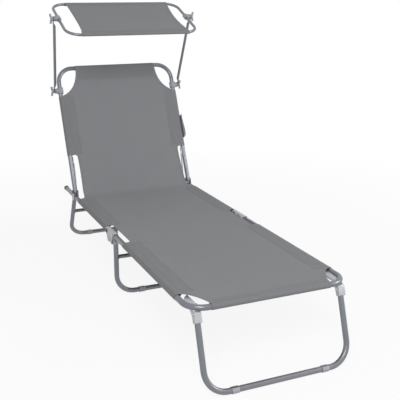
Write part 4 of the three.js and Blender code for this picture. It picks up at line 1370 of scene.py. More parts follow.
@dataclass
class Knobs(Builder):
    """The clamps on the tubes, each with its stud, and the wing nuts that hold the arms."""

    collar_half: float = 13.5 * MM
    collar_wall: float = 4.6 * MM
    collar_round: float = 1.3 * MM
    barrel: float = 11.2 * MM
    groove: float = 0.9 * MM
    stud: float = 3 * MM
    stud_end: float = 9.5 * MM
    eye_gap: float = 0.8 * MM
    hub: float = 9.4 * MM
    wing_root: float = 5 * MM
    wing_out: float = 20.5 * MM
    wing_width: float = 8.8 * MM
    wing_thickness: float = 4.4 * MM
    wing_lean: float = 2 * MM
    wing_stand: float = 2.8 * MM
    nut_turn: float = math.radians(5)

    def build(self) -> None:
        """Models each kind once, and sets a copy on each side."""
        plan = self.plan
        low = (plan.tube, plan.rail_x, plan.arm_low_x, plan.arm_low, plan.back_angle)
        high = (plan.shade_tube, plan.shade_x, plan.arm_high_x, plan.arm_high, plan.shade_tilt)
        for stem, body, sizes in (("arm", "backrest", low), ("shade", "shade", high)):
            tube, tube_x, eye, place, tilt = sizes
            clamp = self.clamp_pattern(tube, tube_x, eye)
            nut = self.nut_pattern(eye)
            for side in Side:
                parts = (
                    (clamp, "clamp", tilt, body),
                    (nut, "wing_nut", side.value * self.nut_turn, f"{stem}_nut_{side.label}"),
                )
                facing = Matrix.Rotation(math.pi if side is Side.LEFT else 0.0, 4, "Z")
                for pattern, kind, turn, carrier in parts:
                    node = f"{stem}_{kind}_{side.label}"
                    placing = Matrix.Translation(place) @ (Matrix.Rotation(turn, 4, "X") @ facing)
                    piece = copied(pattern, f"{node}_moulding", placing)
                    dressed(piece, self.palette.knob, Slot.KNOB, carrier, [node])
            removed(clamp)
            removed(nut)

    def clamp_pattern(self, tube: float, tube_x: float, eye: float) -> Piece:
        """Moulds a collar round the tube, with a grooved barrel and a stud.

        Args:
            tube: the tube's radius.
            tube_x: how far out the tube's axis is.
            eye: how far out the arm's eye is.

        Returns:
            The pattern, with the tube's axis along Y.
        """
        outer, edge, half = tube + self.collar_wall, self.collar_round, self.collar_half
        start = Vector((tube_x, -half, 0))
        shaper = TubeShaper("clamp_pattern", start, AHEAD, outer - edge)
        shaper.turned((0.3 * edge, outer - 0.35 * edge), (0.7 * edge, outer)).straight(2 * half - 2 * edge)
        shaper.turned((0.7 * edge, outer - 0.35 * edge), (0.3 * edge, outer - edge))
        collar = shaper.finish()
        reach = eye - self.plan.eye_thickness / 2 - self.eye_gap - tube_x
        barrel = TubeShaper("barrel", Vector((tube_x, 0, 0)), ACROSS, self.barrel)
        full, low = self.barrel, self.barrel - self.groove
        barrel.straight(reach - 6.2 * MM)
        for _ in range(2):
            barrel.turned((0.4 * MM, low), (0.8 * MM, low), (0.4 * MM, full), (0.9 * MM, full))
        barrel.turned((0.8 * MM, full - 0.4 * MM), (0.4 * MM, full - 1.2 * MM))
        melted(collar, barrel.finish())
        drilled(collar, start * 2 - ACROSS * tube_x, AHEAD, 4 * half, tube + 0.2 * MM)
        pin = TubeShaper("pin", Vector((tube_x + tube + MM, 0, 0)), ACROSS, self.stud)
        pin.straight(eye + self.stud_end - tube_x - tube - 1.5 * MM)
        pin.swell(0.5 * MM, self.stud - 0.5 * MM)
        melted(collar, pin.finish())
        smooth(collar, math.radians(45))
        return collar

    def wing(self, way: int, face: float) -> Piece:
        """Moulds one wing, a rounded paddle that leans away from the arm.

        Args:
            way: 1 for the upper wing, -1 for the lower one.
            face: where the hub's inner face is.

        Returns:
            The wing.
        """
        span = self.wing_out - self.wing_root
        out = face + self.wing_stand + self.wing_width / 2
        middle = Vector((out, 0, way * (self.wing_root + span / 2)))
        wing = block("wing", middle, (self.wing_width, self.wing_thickness, span))
        start_editing(wing)
        pick(wing, "FACE", lambda side: side.normal.z * way > 0.9)
        bpy.ops.transform.translate(value=(self.wing_lean, 0, 0))
        tip = Vector((middle.x + self.wing_lean, 0, way * self.wing_out))
        bpy.ops.transform.resize(value=(1.15, 0.85, 1), center_override=tip)
        stop_editing()
        apply_modifier(wing, "BEVEL", width=1.8 * MM, segments=4, limit_method="NONE")
        return wing

    def nut_pattern(self, eye: float) -> Piece:
        """Moulds a wing nut for the right side, its axis along X through the origin.

        Args:
            eye: how far out the arm's eye is.

        Returns:
            The pattern.
        """
        face = eye + self.plan.eye_thickness / 2 + self.eye_gap
        hub = TubeShaper("nut_pattern", Vector((face, 0, 0)), ACROSS, self.hub - 0.9 * MM)
        profile = [(0.3, 0), (2.6, 0), (1.6, 0.7), (2.4, 1.7), (1, 2.4), (0.5, 3.1), (0, 4.6), (-1.4, 4.8)]
        knob = hub.turned(*((step * MM, self.hub - cut * MM) for step, cut in profile)).finish()
        for way in (-1, 1):
            melted(knob, self.wing(way, face))
        drilled(knob, Vector((face - MM, 0, 0)), ACROSS, 12 * MM, self.stud + 0.15 * MM)
        smooth(knob, math.radians(45))
        return knob


# Cloth


def curve_points(start: Point, pull: Point, end: Point, steps: int) -> Path:
    """Points on a curve from start to end that leaves towards pull, without its last point."""
    points = []
    for i in range(steps):
        t = i / steps
        a, b, c = (1 - t) ** 2, 2 * t * (1 - t), t * t
        points.append(tuple(a * p + b * q + c * r for p, q, r in zip(start, pull, end)))
    return points


def between(a: Point, b: Point, share: float) -> Point:
    """The place a share of the way from a to b."""
    return a[0] + (b[0] - a[0]) * share, a[1] + (b[1] - a[1]) * share


def filled(line: Sequence[Point], step: float) -> Path:
    """The same broken line with a point at least every step metres."""
    out = [line[0]]
    for a, b in zip(line, line[1:]):
        count = max(1, math.ceil(math.dist(a, b) / step))
        out += [between(a, b, i / count) for i in range(1, count + 1)]
    return out


def to_and_fro(right: Sequence[float]) -> list[float]:
    """Numbers from 0 up, with the same below 0."""
    return [-u for u in right[:0:-1]] + list(right)


def mirrored(line: Sequence[Point]) -> Path:
    """The same line on the other side."""
    return [(-u, v) for u, v in line]


def distance_to(points: np.ndarray, line: Sequence[Point]) -> np.ndarray:
    """How far each point is from a broken line, in the flat cut."""
    best = np.full(len(points), 1e9)
    for a, b in zip(line, line[1:]):
        a, b = np.array(a), np.array(b)
        d = b - a
        t = np.clip(((points - a) @ d) / max(d @ d, 1e-12), 0, 1)
        best = np.minimum(best, np.linalg.norm(points - a - t[:, None] * d, axis=1))
    return best


def inside(points: np.ndarray, outline: Sequence[Point]) -> np.ndarray:
    """Whether each point is inside a closed outline."""
    hit = np.zeros(len(points), bool)
    for (ax, ay), (bx, by) in zip(outline, [*outline[1:], outline[0]]):
        if ay == by:
            continue
        crosses = (points[:, 1] < max(ay, by)) & (points[:, 1] >= min(ay, by))
        at = ax + (points[:, 1] - ay) * (bx - ax) / (by - ay)
        hit ^= crosses & (points[:, 0] < at)
    return hit


@dataclass
class Sleeve:
    """How cloth goes round a bar and back under itself, where it is sewn down."""

    radius: float
    reach: float
    turn: float = math.radians(255)
    under: float = 1.25 * MM

    def __post_init__(self) -> None:
        """Works out its lengths.

        Wrapped is the length on the bar, loose the length from there to where the flap meets the sheet
        from below, meets how far in from the bar's axis that is, and total the whole length past the
        top of the bar. Seams says how far in the two rows of stitches run.
        """
        self.wrapped = self.radius * self.turn
        drop = self.radius * (1 - math.cos(self.turn)) - self.under
        self.loose = drop / -math.sin(self.turn)
        self.meets = -self.radius * math.sin(self.turn) - self.loose * math.cos(self.turn)
        self.total = self.wrapped + self.loose + self.reach - self.meets
        self.seams = (self.meets + 4 * MM, self.reach - 3 * MM)

    def steps(self, size: float) -> list[float]:
        """Lengths past the top of the bar at which the cut gets points."""
        count = round(self.wrapped / size)
        wrap = [self.wrapped * i / count for i in range(count + 1)]
        flat = self.total - self.wrapped
        more = max(3, round(flat / (8 * MM)))
        return wrap + [self.wrapped + flat * i / more for i in range(1, more)]

    def laid(
        self, past: float, rim: Vector, way: Vector, out: Vector, stand: Callable[[float], float]
    ) -> tuple[Vector, Vector]:
        """Lays the cloth some length past the top of the bar.

        Args:
            past: the length from there, along the cloth.
            rim: the top of the bar.
            way: the way out over the bar.
            out: the way out of the sheet's upper face.
            stand: how far the sheet stands off its plane, some length out from the bar's axis.

        Returns:
            The cloth's place and the direction of its outer face there.
        """
        angle = min(past / self.radius, self.turn)
        sine, cosine = math.sin(angle), math.cos(angle)
        along = min(max(past - self.wrapped, 0.0), self.loose)
        away = self.radius * sine + along * cosine
        up = self.radius * (cosine - 1) - along * sine
        face = way * sine + out * cosine
        if past > self.wrapped + self.loose:
            away -= past - self.wrapped - self.loose
            up, face = -self.under, -out
        if away < 0:
            up += stand(away)
        return rim + way * away + out * up, face


@dataclass
class Line:
    """The sheet's middle line, seen from the side: seat, crease, small of the back and backrest."""

    plan: Plan
    rise: float = 10.4 * MM
    crease: float = 60 * MM
    join: float = 170 * MM
    join_radius: float = 300 * MM
    ease: float = math.radians(7)

    def __post_init__(self) -> None:
        """Works out where each part starts and ends.

        Lengths run along the cloth from above the foot bar. Level is the seat's height, turn the crease's
        angle and meeting the place where the seat and the small of the back would meet.
        """
        plan = self.plan
        self.level = plan.rail_z + self.rise
        self.turn = plan.back_angle - self.ease
        joined_at = plan.back_pivot + plan.along_back * self.join + plan.off_back * self.rise
        lumbar = (joined_at.z - self.level) / math.sin(self.turn)
        crease_tangent = self.crease * math.tan(self.turn / 2)
        join_tangent = self.join_radius * math.tan(self.ease / 2)
        self.meeting = joined_at.y - lumbar * math.cos(self.turn) - plan.foot_bar_y
        self.bend_start = self.meeting - crease_tangent
        self.bend_end = self.bend_start + self.crease * self.turn
        self.lumbar_end = self.bend_end + lumbar - (crease_tangent + join_tangent)
        join_end = self.lumbar_end + self.join_radius * self.ease
        self.back_zero = join_end - self.join - join_tangent

    @staticmethod
    def bent(start: Vector, heading: float, radius: float, angle: float) -> Vector:
        """Where a bend leads.

        Args:
            start: where it starts.
            heading: the angle of the way on at its start.
            radius: its radius.
            angle: how far it has turned.

        Returns:
            The place.
        """
        y = math.sin(heading + angle) - math.sin(heading)
        z = math.cos(heading) - math.cos(heading + angle)
        return start + Vector((0, y, z)) * radius

    def at(self, along: float) -> tuple[Vector, Vector, Vector]:
        """A place on the line.

        Args:
            along: the length along the cloth from above the foot bar.

        Returns:
            The place, the way on and the way out of the upper face.
        """
        plan = self.plan
        angle = min(max((along - self.bend_start) / self.crease, 0.0), self.turn)
        flat = min(along, self.bend_start)
        place = self.bent(Vector((0, plan.foot_bar_y + flat, self.level)), 0.0, self.crease, angle)
        if along > self.bend_end:
            place += slanting(self.turn) * (min(along, self.lumbar_end) - self.bend_end)
        if along > self.lumbar_end:
            angle = self.turn + min((along - self.lumbar_end) / self.join_radius, self.ease)
            place = self.bent(place, self.turn, self.join_radius, angle - self.turn)
        if angle >= plan.back_angle - 1e-9:
            up = along - self.back_zero
            place = plan.back_pivot + plan.along_back * up + plan.off_back * self.rise
        return place, slanting(angle), slanting(angle + QUARTER)


def woven(name: str, places: list[Vector], faces: Sequence[Sequence[int]], flat: Sequence[Point]) -> Piece:
    """Makes a mesh that carries its places on the flat cut.

    Args:
        name: the piece's name.
        places: its vertices.
        faces: its faces.
        flat: each vertex's place on the flat cut.

    Returns:
        The new object.
    """
    mesh = bpy.data.meshes.new(name)
    mesh.from_pydata(places, [], [list(face) for face in faces])
    layer = mesh.uv_layers.new(name="Cloth")
    for loop in mesh.loops:
        layer.data[loop.index].uv = flat[loop.vertex_index]
    return placed(name, mesh)


def carries(piece: Piece, name: str, values: Sequence[float]) -> None:
    """Gives each vertex of a mesh a number."""
    piece.data.attributes.new(name, "FLOAT", "POINT").data.foreach_set("value", values)


def cut(cloth: Piece, nodes: list[str], size: Point, area: float, held: str, rests: list[str]) -> None:
    """Logs what a cloth was cut to and its area, and hides the nodes that it stands for."""
    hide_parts(*nodes)
    LOG.info("%s cut to %s, %.3f m2", cloth.name, size, area)


@dataclass
class ClothLength:
    """One length of cloth: its flat cut, the way that it lies, its hems and its seams."""

    name: str
    half: Path
    hems: list[Path]
    seams: list[Path]
    columns: list[float]
    rows: list[float]
    lay: Callable[[float, float], tuple[Vector, Vector]]
    double: Callable[[float, float], float]
    thickness: float = 1.0 * MM
    stitch: float = 3.1 * MM
    stitch_gap: float = 1.9 * MM
    stitch_radius: float = 0.38 * MM

    def outline(self) -> Path:
        """The whole cut, right half first and then the left half back."""
        return self.half + mirrored(self.half)[::-1]

    def declare(self, cloth: Piece, nodes: list[str], rests: list[str]) -> None:
        """Logs what the length was cut to and hides the solids that it stands for."""
        ring = self.outline()
        pairs = zip(ring, [*ring[1:], ring[0]])
        area = abs(sum(a[0] * b[1] - b[0] * a[1] for a, b in pairs)) / 2
        us, vs = zip(*self.half)
        cut(cloth, nodes, (2 * max(us), max(vs) - min(vs)), area, "stretched", rests)

    def sheet(self, palette: Palette) -> Piece:
        """Lays the cut in place, gives it its thickness and sews it."""
        outline = self.outline()
        grid = np.array([(u, v) for v in self.rows for u in self.columns])
        grid = grid[inside(grid, outline)]
        grid = grid[distance_to(grid, [*outline, outline[0]]) > 1.6 * MM]
        flat = [Vector(p) for p in outline] + [Vector(p) for p in grid]
        ring = list(range(len(outline)))
        made = delaunay_2d_cdt(flat, [], [ring], 1, 1e-7)
        spots, faces = made[0], made[2]
        points = np.array([(p.x, p.y) for p in spots])
        hem, seam = (
            np.min([distance_to(points, side) for line in lines for side in (line, mirrored(line))], axis=0)
            for lines in (self.hems, self.seams)
        )
        places = []
        for (u, v), near, sewn in zip(points, hem, seam):
            place, out = self.lay(u, v)
            thick = 0.35 * MM * clamped(1 - (near - 9 * MM) / (2 * MM))
            pinch = -0.3 * MM * math.exp(-((sewn / (1.6 * MM)) ** 2))
            places.append(place + out * (thick + pinch))
        cloth = woven(self.name, places, faces, points)
        doubled = [max(self.double(u, v), float(near < 10 * MM)) for (u, v), near in zip(points, hem)]
        carries(cloth, "double", doubled)
        carries(cloth, "edge", [math.exp(-((near / (1.5 * MM)) ** 2)) for near in hem])
        start_editing(cloth)
        pick_all()
        bpy.ops.mesh.tris_convert_to_quads()
        stop_editing()
        apply_modifier(cloth, "SOLIDIFY", thickness=self.thickness, offset=0.0)
        smooth(cloth, math.radians(60))
        cloth.data.materials.append(palette.cloth)
        cloth.data.materials.append(palette.thread)
        threads = self.stitching(palette)
        activate(cloth)
        threads.select_set(True)
        bpy.ops.object.join()
        return cloth

    def stitching(self, palette: Palette) -> Piece:
        """Sews every seam and hem with separate small stitches on the upper face."""
        runs = [*self.seams, *[self.moved_in(line, 7.5 * MM) for line in self.hems]]
        places: list[Vector] = []
        faces: list[tuple[int, ...]] = []
        pitch = self.stitch + self.stitch_gap
        for run in [*runs, *[mirrored(r) for r in runs]]:
            fine = filled(run, pitch)
            for a, b in zip(fine, fine[1:]):
                self.one_stitch(a, between(a, b, self.stitch / pitch), places, faces)
        threads = woven(f"{self.name}_stitching", places, faces, [(0.0, 0.0)] * len(places))
        threads.data.materials.append(palette.cloth)
        threads.data.materials.append(palette.thread)
        for face in threads.data.polygons:
            face.material_index = 1
            face.use_smooth = True
        return threads

    @staticmethod
    def moved_in(line: Sequence[Point], inset: float) -> Path:
        """A hem's line, moved towards the middle of the cloth and shortened at its ends."""
        out = []
        for i, (u, v) in enumerate(line):
            a, b = line[max(i - 1, 0)], line[min(i + 1, len(line) - 1)]
            length = max(math.dist(a, b), 1e-9)
            du, dv = (b[0] - a[0]) / length, (b[1] - a[1]) / length
            out.append((u - dv * inset, v + du * inset))
        return out[1:-1] if len(out) > 4 else out

    def one_stitch(self, a: Point, b: Point, places: list[Vector], faces: list[tuple[int, ...]]) -> None:
        """Adds one stitch, a short rod with pointed ends.

        Args:
            a: its start on the flat cut.
            b: its end there.
            places: the vertices so far.
            faces: the faces so far.
        """
        (start, out_a), (end, out_b) = self.lay(*a), self.lay(*b)
        out = (out_a + out_b).normalized()
        along = (end - start).normalized()
        beside = along.cross(out)
        lift = self.thickness / 2 + 0.05 * MM
        low = len(places)
        places.append(start + out * (lift - self.stitch_radius))
        for share in (0.22, 0.78):
            centre = start.lerp(end, share) + out * lift
            for angle in (math.tau * i / 6 for i in range(6)):
                spoke = beside * math.cos(angle) + out * math.sin(angle)
                places.append(centre + spoke * self.stitch_radius)
        places.append(end + out * (lift - self.stitch_radius))
        for i in range(1, 7):
            p, q = low + i, low + i % 6 + 1
            faces += [(low, p, q), (p, p + 6, q + 6, q), (p + 6, low + 13, q + 6)]


# A length's name, the right half of its cut, its hems, its seams and where it gets rows of points
Pattern = tuple[str, Path, list[Path], list[Path], list[float]]


@dataclass
class Sling(Builder):
    """The lounger's sling: three lengths that meet under the seat and over the middle hinge."""

    front_half: float = 205 * MM
    foot_sleeve: Point = (100 * MM, 600 * MM)
    slot_half: float = 250 * MM
    seat_sleeve: Point = (815 * MM, 1219 * MM)
    seat_end_half: float = 245 * MM
    back_slot_half: float = 241 * MM
    back_sleeve: Point = (165 * MM, 437 * MM)
    top_half: float = 190 * MM
    corner: float = 14 * MM
    hinge_split: float = 755 * MM
    seat_split: float = 1060 * MM
    edge_step: float = 7 * MM
    row_step: float = 9 * MM
    sag: float = 4.5 * MM
    blend_reach: float = 45 * MM

    def __post_init__(self) -> None:
        """Works out the side line and the sleeves."""
        self.line = Line(self.plan)
        self.side = Sleeve(self.line.rise, 57 * MM)
        self.front = Sleeve(self.line.rise, 27 * MM)
        self.head = Sleeve(self.line.rise, 60 * MM)
        self.top = self.line.back_zero + self.plan.back_length

    def build(self) -> None:
        """Builds and dresses the three lengths."""
        plan, reach = self.plan, AHEAD * 24 * MM
        rails = ["seat_rail_bar_left", "seat_rail_bar_right"]
        hinged = ["hinge_sling", "seat_sling"]
        foot, seat = ((pin + reach, pin - reach) for pin in (plan.front_pin, plan.rear_pin))
        back = [self.line.at(v)[0] for v in (self.line.bend_start, self.line.back_zero + self.blend_reach)]
        for pattern, bodies, ends, nodes, rests in (
            (self.foot_length(), ("middle_leg", "foot_section"), foot, ["foot_sling"], ["foot_frame_bow"]),
            (self.seat_length(), ("middle_leg", "seat"), seat[::-1], hinged, rails),
            (self.back_length(), ("seat", "backrest"), back, ["backrest_sling"], ["backrest_bow"]),
        ):
            name, half, hems, seams, rows = pattern
            outline, *hems = (filled(line, self.edge_step) for line in (half, *hems))
            length = ClothLength(
                name, outline[1:-1], hems, seams, self.columns(), rows, self.lay, self.band
            )
            cloth = length.sheet(self.palette)
            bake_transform(cloth)
            length.declare(cloth, nodes, rests)

    def columns(self) -> list[float]:
        """Where the cut gets a column of points: close on the bends and seams, wide elsewhere."""
        rail = self.plan.rail_x
        right = [i * 15 * MM for i in range(15)]
        for seam in self.side.seams[::-1]:
            right += [rail - seam + i * 1.6 * MM for i in range(-2, 3)]
        right += [226 * MM, 233 * MM, 240 * MM, 246 * MM, 260 * MM, 264.5 * MM, 268 * MM]
        right = sorted(right) + [rail + past for past in self.side.steps(2.6 * MM)]
        return to_and_fro(right)

    def rows(self, low: float, high: float) -> list[float]:
        """Rows of points between low and high."""
        count = max(2, round((high - low) / self.row_step))
        return [low + (high - low) * i / count for i in range(1, count)]

    def wave(self, u: float, v: float) -> float:
        """How far the cloth stands off its plane: a slight sag and pulls from the slots' corners."""
        across = max(0.0, 1 - (u / self.slot_half) ** 2)
        ends = [(0.0, 0.05), (self.line.meeting, 0.10), (self.top, 0.07)]
        hold = 1.0
        for place, reach in ends:
            hold *= eased(abs(v - place) / reach)
        depth = -self.sag * across * hold
        corners = [
            (self.slot_half, self.foot_sleeve[1]),
            (self.slot_half, self.seat_sleeve[0]),
            (self.seat_end_half, self.seat_sleeve[1]),
            (self.back_slot_half, self.line.back_zero + self.back_sleeve[0]),
            (self.plan.rail_x - 12 * MM, self.line.back_zero + self.back_sleeve[1]),
            (self.plan.rail_x - 12 * MM, self.foot_sleeve[0]),
        ]
        for cu, cv in corners:
            du, dv = abs(u) - cu, v - cv
            far = math.hypot(du, dv)
            if far < 0.16:
                fold = math.cos(7 * math.atan2(dv, du) + 0.9)
                depth += 0.75 * MM * fold * math.exp(-((far / 0.075) ** 2)) * min(1, far / 0.02)
        depth += 0.45 * MM * math.sin(11 * v + 2.3) * math.sin(17 * u + 5 * v) * hold
        return depth * clamped((self.plan.rail_x - 6 * MM - abs(u)) / (20 * MM))

    def lay(self, u: float, v: float) -> tuple[Vector, Vector]:
        """Lays a point of the flat cut in its place.

        Args:
            u: across the cut.
            v: along the cut.

        Returns:
            Its place and the direction of the upper face there.
        """
        held = min(max(v, 0.0), self.top)
        place, on, out = self.line.at(held)
        if v != held:
            sleeve, sign = (self.front, -1) if v < 0 else (self.head, 1)
            rim = place + ACROSS * u
            return sleeve.laid(abs(v - held), rim, on * sign, out, lambda y: self.wave(u, held + sign * y))
        rail = self.plan.rail_x
        if abs(u) > rail:
            way = ACROSS * math.copysign(1, u)
            rim = place + way * rail
            return self.side.laid(abs(u) - rail, rim, way, out, lambda x: self.wave(rail + x, v))
        return place + ACROSS * u + out * self.wave(u, v), out

    def band(self, u: float, v: float) -> float:
        """1 where the cloth lies double over a sleeve's flap."""
        back = [self.line.back_zero + past for past in self.back_sleeve]
        spans = [self.foot_sleeve, self.seat_sleeve, back]
        sided = any(a <= v <= b for a, b in spans) and abs(u) > self.plan.rail_x - self.side.reach
        crossed = v < self.front.reach or v > self.top - self.head.reach
        return 1.0 if sided or crossed else 0.0

    def side_seams(self, low: float, high: float) -> list[Path]:
        """Two rows of stitches along a side sleeve."""
        lines = [self.plan.rail_x - seam for seam in self.side.seams]
        return [filled([(u, low), (u, high)], self.row_step) for u in lines]

    def cross_seams(self, half: float) -> list[Path]:
        """Two rows of stitches along the sleeve of a cross bar, on the right half."""
        lines = [self.top - seam for seam in self.head.seams]
        if half > self.top_half:
            lines = list(self.front.seams)
        return [filled([(0, v), (half, v)], self.row_step) for v in lines]

    def foot_length(self) -> Pattern:
        """The length from the foot bar to the middle of the hinge."""
        rail, total = self.plan.rail_x, self.side.total
        low, high = self.foot_sleeve
        split, slot_half = self.hinge_split, self.slot_half
        cutout = curve_points((self.front_half, 0.0), (227.1 * MM, 93 * MM), (rail, low), 16)
        cutout += [(rail, low)]
        slot = [(rail, high), (slot_half + self.corner, high)]
        slot += curve_points(slot[-1], (slot_half, high), (slot_half, high + self.corner), 6)[1:]
        slot += [(slot_half, high + self.corner), (slot_half, split)]
        tuck = self.front.total
        half = [(0.0, -tuck), (self.front_half, -tuck), (self.front_half, 0.0)]
        half += cutout[1:] + [(rail + total, low), (rail + total, high)] + slot + [(0.0, split)]
        seams = self.side_seams(low + 4 * MM, high - 4 * MM) + self.cross_seams(self.front_half + 6 * MM)
        rows = self.rows(0.0, split) + [-past for past in self.front.steps(2.6 * MM)]
        return "foot_section_cloth", half, [cutout, slot[1:]], seams, rows

    def seat_length(self) -> Pattern:
        """The length from the middle of the hinge to the middle of the seat."""
        rail, total = self.plan.rail_x, self.side.total
        low, slot_half = self.seat_sleeve[0], self.slot_half
        slot = [(slot_half, self.hinge_split), (slot_half, low - self.corner)]
        slot += curve_points(slot[-1], (slot_half, low), (slot_half + self.corner, low), 6)[1:]
        slot += [(slot_half + self.corner, low), (rail, low)]
        half = [(0.0, self.hinge_split), *slot, (rail + total, low)]
        half += [(rail + total, self.seat_split), (0.0, self.seat_split)]
        seams = self.side_seams(low + 4 * MM, self.seat_split)
        return "seat_cloth", half, [slot], seams, self.rows(self.hinge_split, self.seat_split)

    def back_length(self) -> Pattern:
        """The length from the middle of the seat over the crease to the top bar."""
        rail, total, zero = self.plan.rail_x, self.side.total, self.line.back_zero
        high, edge, corner = self.seat_sleeve[1], self.back_slot_half, self.corner
        low, end = (zero + s for s in self.back_sleeve)
        foot, round_top = (self.seat_end_half + 18 * MM, high), (self.seat_end_half, high + 46 * MM)
        slot = [(rail, high)] + curve_points(foot, (self.seat_end_half, high), round_top, 14)
        slot += curve_points(round_top, (edge - 2 * MM, zero + 82 * MM), (edge, low - corner), 12)
        slot += curve_points((edge, low - corner), (edge, low), (edge + corner, low), 6)
        slot += [(edge + corner, low), (rail, low)]
        cutout = curve_points((rail, end), (193.3 * MM, end + 26 * MM), (self.top_half, self.top), 18)
        cutout += [(self.top_half, self.top)]
        half = [(0.0, self.seat_split), (rail + total, self.seat_split), (rail + total, high)]
        half += slot + [(rail + total, low), (rail + total, end)] + cutout
        half += [(x, self.top + self.head.total) for x in (self.top_half, 0.0)]
        seams = self.side_seams(self.seat_split + 5 * MM, high - 4 * MM)
        seams += self.side_seams(low + 4 * MM, end - 4 * MM) + self.cross_seams(self.top_half - 6 * MM)
        rows = self.rows(self.seat_split, self.top) + [self.top + s for s in self.head.steps(2.6 * MM)]
        return "backrest_cloth", half, [slot[1:], cutout], seams, rows


@dataclass
class ShadeCloth(Builder):
    """The shade's cloth, stretched between the front and back bars."""

    half: float = 239 * MM
    slid: float = 9 * MM
    waist: float = 10 * MM
    sag: float = 10 * MM
    rise: float = 6.9 * MM

    def build(self) -> None:
        """Builds, dresses and hangs the cloth."""
        plan = self.plan
        self.sleeve = Sleeve(self.rise, 24 * MM, under=1.1 * MM)
        low, high, total = -plan.shade_front, plan.shade_back, self.sleeve.total
        pull = (self.half - 2 * self.waist, (low + high) / 2)
        side = curve_points((self.half, low), pull, (self.half, high), 40) + [(self.half, high)]
        half = [(0.0, low - total), (self.half, low - total), *side]
        half += [(self.half, high + total), (0.0, high + total)]
        seams = []
        rows = [low + (high - low) * i / 38 for i in range(1, 38)]
        for place, way in ((low, 1), (high, -1)):
            rows += [place - way * past for past in self.sleeve.steps(1.9 * MM)]
            for inset in self.sleeve.seams:
                v = place + way * inset
                seams.append(filled([(0, v), (self.half - 8 * MM, v)], 8 * MM))
        columns = [i * 12 * MM for i in range(19)] + [221 * MM, 226 * MM, 231 * MM]
        outline, columns = filled(half, 7 * MM)[1:-1], to_and_fro(columns)
        rows = sorted(rows)
        length = ClothLength(
            "shade_canopy", outline, [side], seams, columns, rows, self.lay, self.double, 0.9 * MM
        )
        cloth = length.sheet(self.palette)
        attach(cloth, "shade")
        length.declare(cloth, ["shade_cloth"], ["shade_loop"])

    def double(self, u: float, v: float) -> float:
        """1 where the cloth lies double."""
        band = self.sleeve.reach
        low, high = -self.plan.shade_front, self.plan.shade_back
        return 1.0 if v < low + band or v > high - band else 0.0

    def belly(self, u: float, v: float) -> float:
        """How far the cloth hangs below its bars' plane."""
        share = clamped((v + self.plan.shade_front) / (self.plan.shade_front + self.plan.shade_back))
        hang = self.sag * (1 - 0.15 * (u / self.half) ** 2)
        return (hang - 0.5 * MM * math.sin(9 * u)) * math.sin(math.pi * share)

    def lay(self, u: float, v: float) -> tuple[Vector, Vector]:
        """Lays a point of the flat cut in its place.

        Args:
            u: across the cut.
            v: along the cut, from the arms' pivots.

        Returns:
            Its place and the direction of the upper face there.
        """
        plan = self.plan
        on, out = plan.along_shade, plan.off_shade
        low, high = -plan.shade_front, plan.shade_back
        held = min(max(v, low), high)
        place = plan.arm_high + on * held + out * self.rise + ACROSS * (u + self.slid)
        if v != held:
            sign = math.copysign(1, v)
            way, past = on * sign, abs(v - held)
            return self.sleeve.laid(past, place, way, out, lambda y: -self.belly(u, held + sign * y))
        return place - out * self.belly(u, v), out


@dataclass
class SidePocket(Builder):
    """A small sagging pocket sewn to the outside of the backrest's right sleeve."""

    start: float = 203 * MM
    end: float = 316 * MM
    half: float = 17 * MM
    depth: float = 14.5 * MM
    stand_off: float = 11.2 * MM
    steps: int = 26
    round_steps: int = 22

    def bulge(self, share: float) -> float:
        """How far out the pocket stands, from its bottom at 0 to its mouth at 1."""
        bottom = min(1.0, share / 0.16)
        full = math.sin(QUARTER * bottom) ** 0.8
        slim = 1 - 0.52 * max(0.0, (share - 0.25) / 0.75) ** 1.2
        mouth = 0.16 * math.exp(-(((1 - share) / 0.07) ** 2))
        return max(0.03, full * slim + mouth) * self.depth

    def build(self) -> None:
        """Builds, dresses and hangs the pocket."""
        plan, width = self.plan, self.round_steps + 1
        places, flat, girth = [], [], 0.0
        base = plan.back_pivot + ACROSS * (plan.rail_x + self.stand_off)
        for share in (i / self.steps for i in range(self.steps + 1)):
            along = self.start + (self.end - self.start) * share
            half = self.half * (0.82 + 0.18 * math.sin(QUARTER * min(1, share / 0.3)))
            for part in (j / self.round_steps for j in range(width)):
                angle = math.pi * part
                fold = 0.7 * MM * math.sin(3 * angle + 5 * share) * math.sin(math.pi * share)
                away = ACROSS * ((self.bulge(share) + fold) * math.sin(angle) ** 0.75)
                side = plan.off_back * (-half * math.cos(angle))
                places.append(base + plan.along_back * along + away + side)
                flat.append((0.045 * (2 * part - 1), along))
            row = places[-width:]
            girth = max(girth, sum((b - a).length for a, b in zip(row, row[1:])))
        corners = [i * width + j for i in range(self.steps) for j in range(self.round_steps)]
        faces = [(a, a + width, a + width + 1, a + 1) for a in corners]
        pocket = woven("side_pocket_cloth", places, faces, flat)
        mesh, last_rows = pocket.data, width * (self.steps - 3)
        carries(pocket, "double", [1.0 if i >= last_rows else 0.35 for i in range(len(places))])
        carries(pocket, "edge", [0.0] * len(places))
        apply_modifier(pocket, "SOLIDIFY", thickness=1.0 * MM, offset=-1.0)
        apply_modifier(pocket, "SUBSURF", levels=1, render_levels=1)
        smooth(pocket, math.radians(60))
        area = sum(face.area for face in mesh.polygons) / 2
        pocket.data.materials.append(self.palette.cloth)
        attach(pocket, "backrest")
        size = (girth, self.end - self.start)
        cut(pocket, ["side_pocket"], size, min(area, size[0] * size[1]), "hung", ["backrest_cloth"])


# Stage


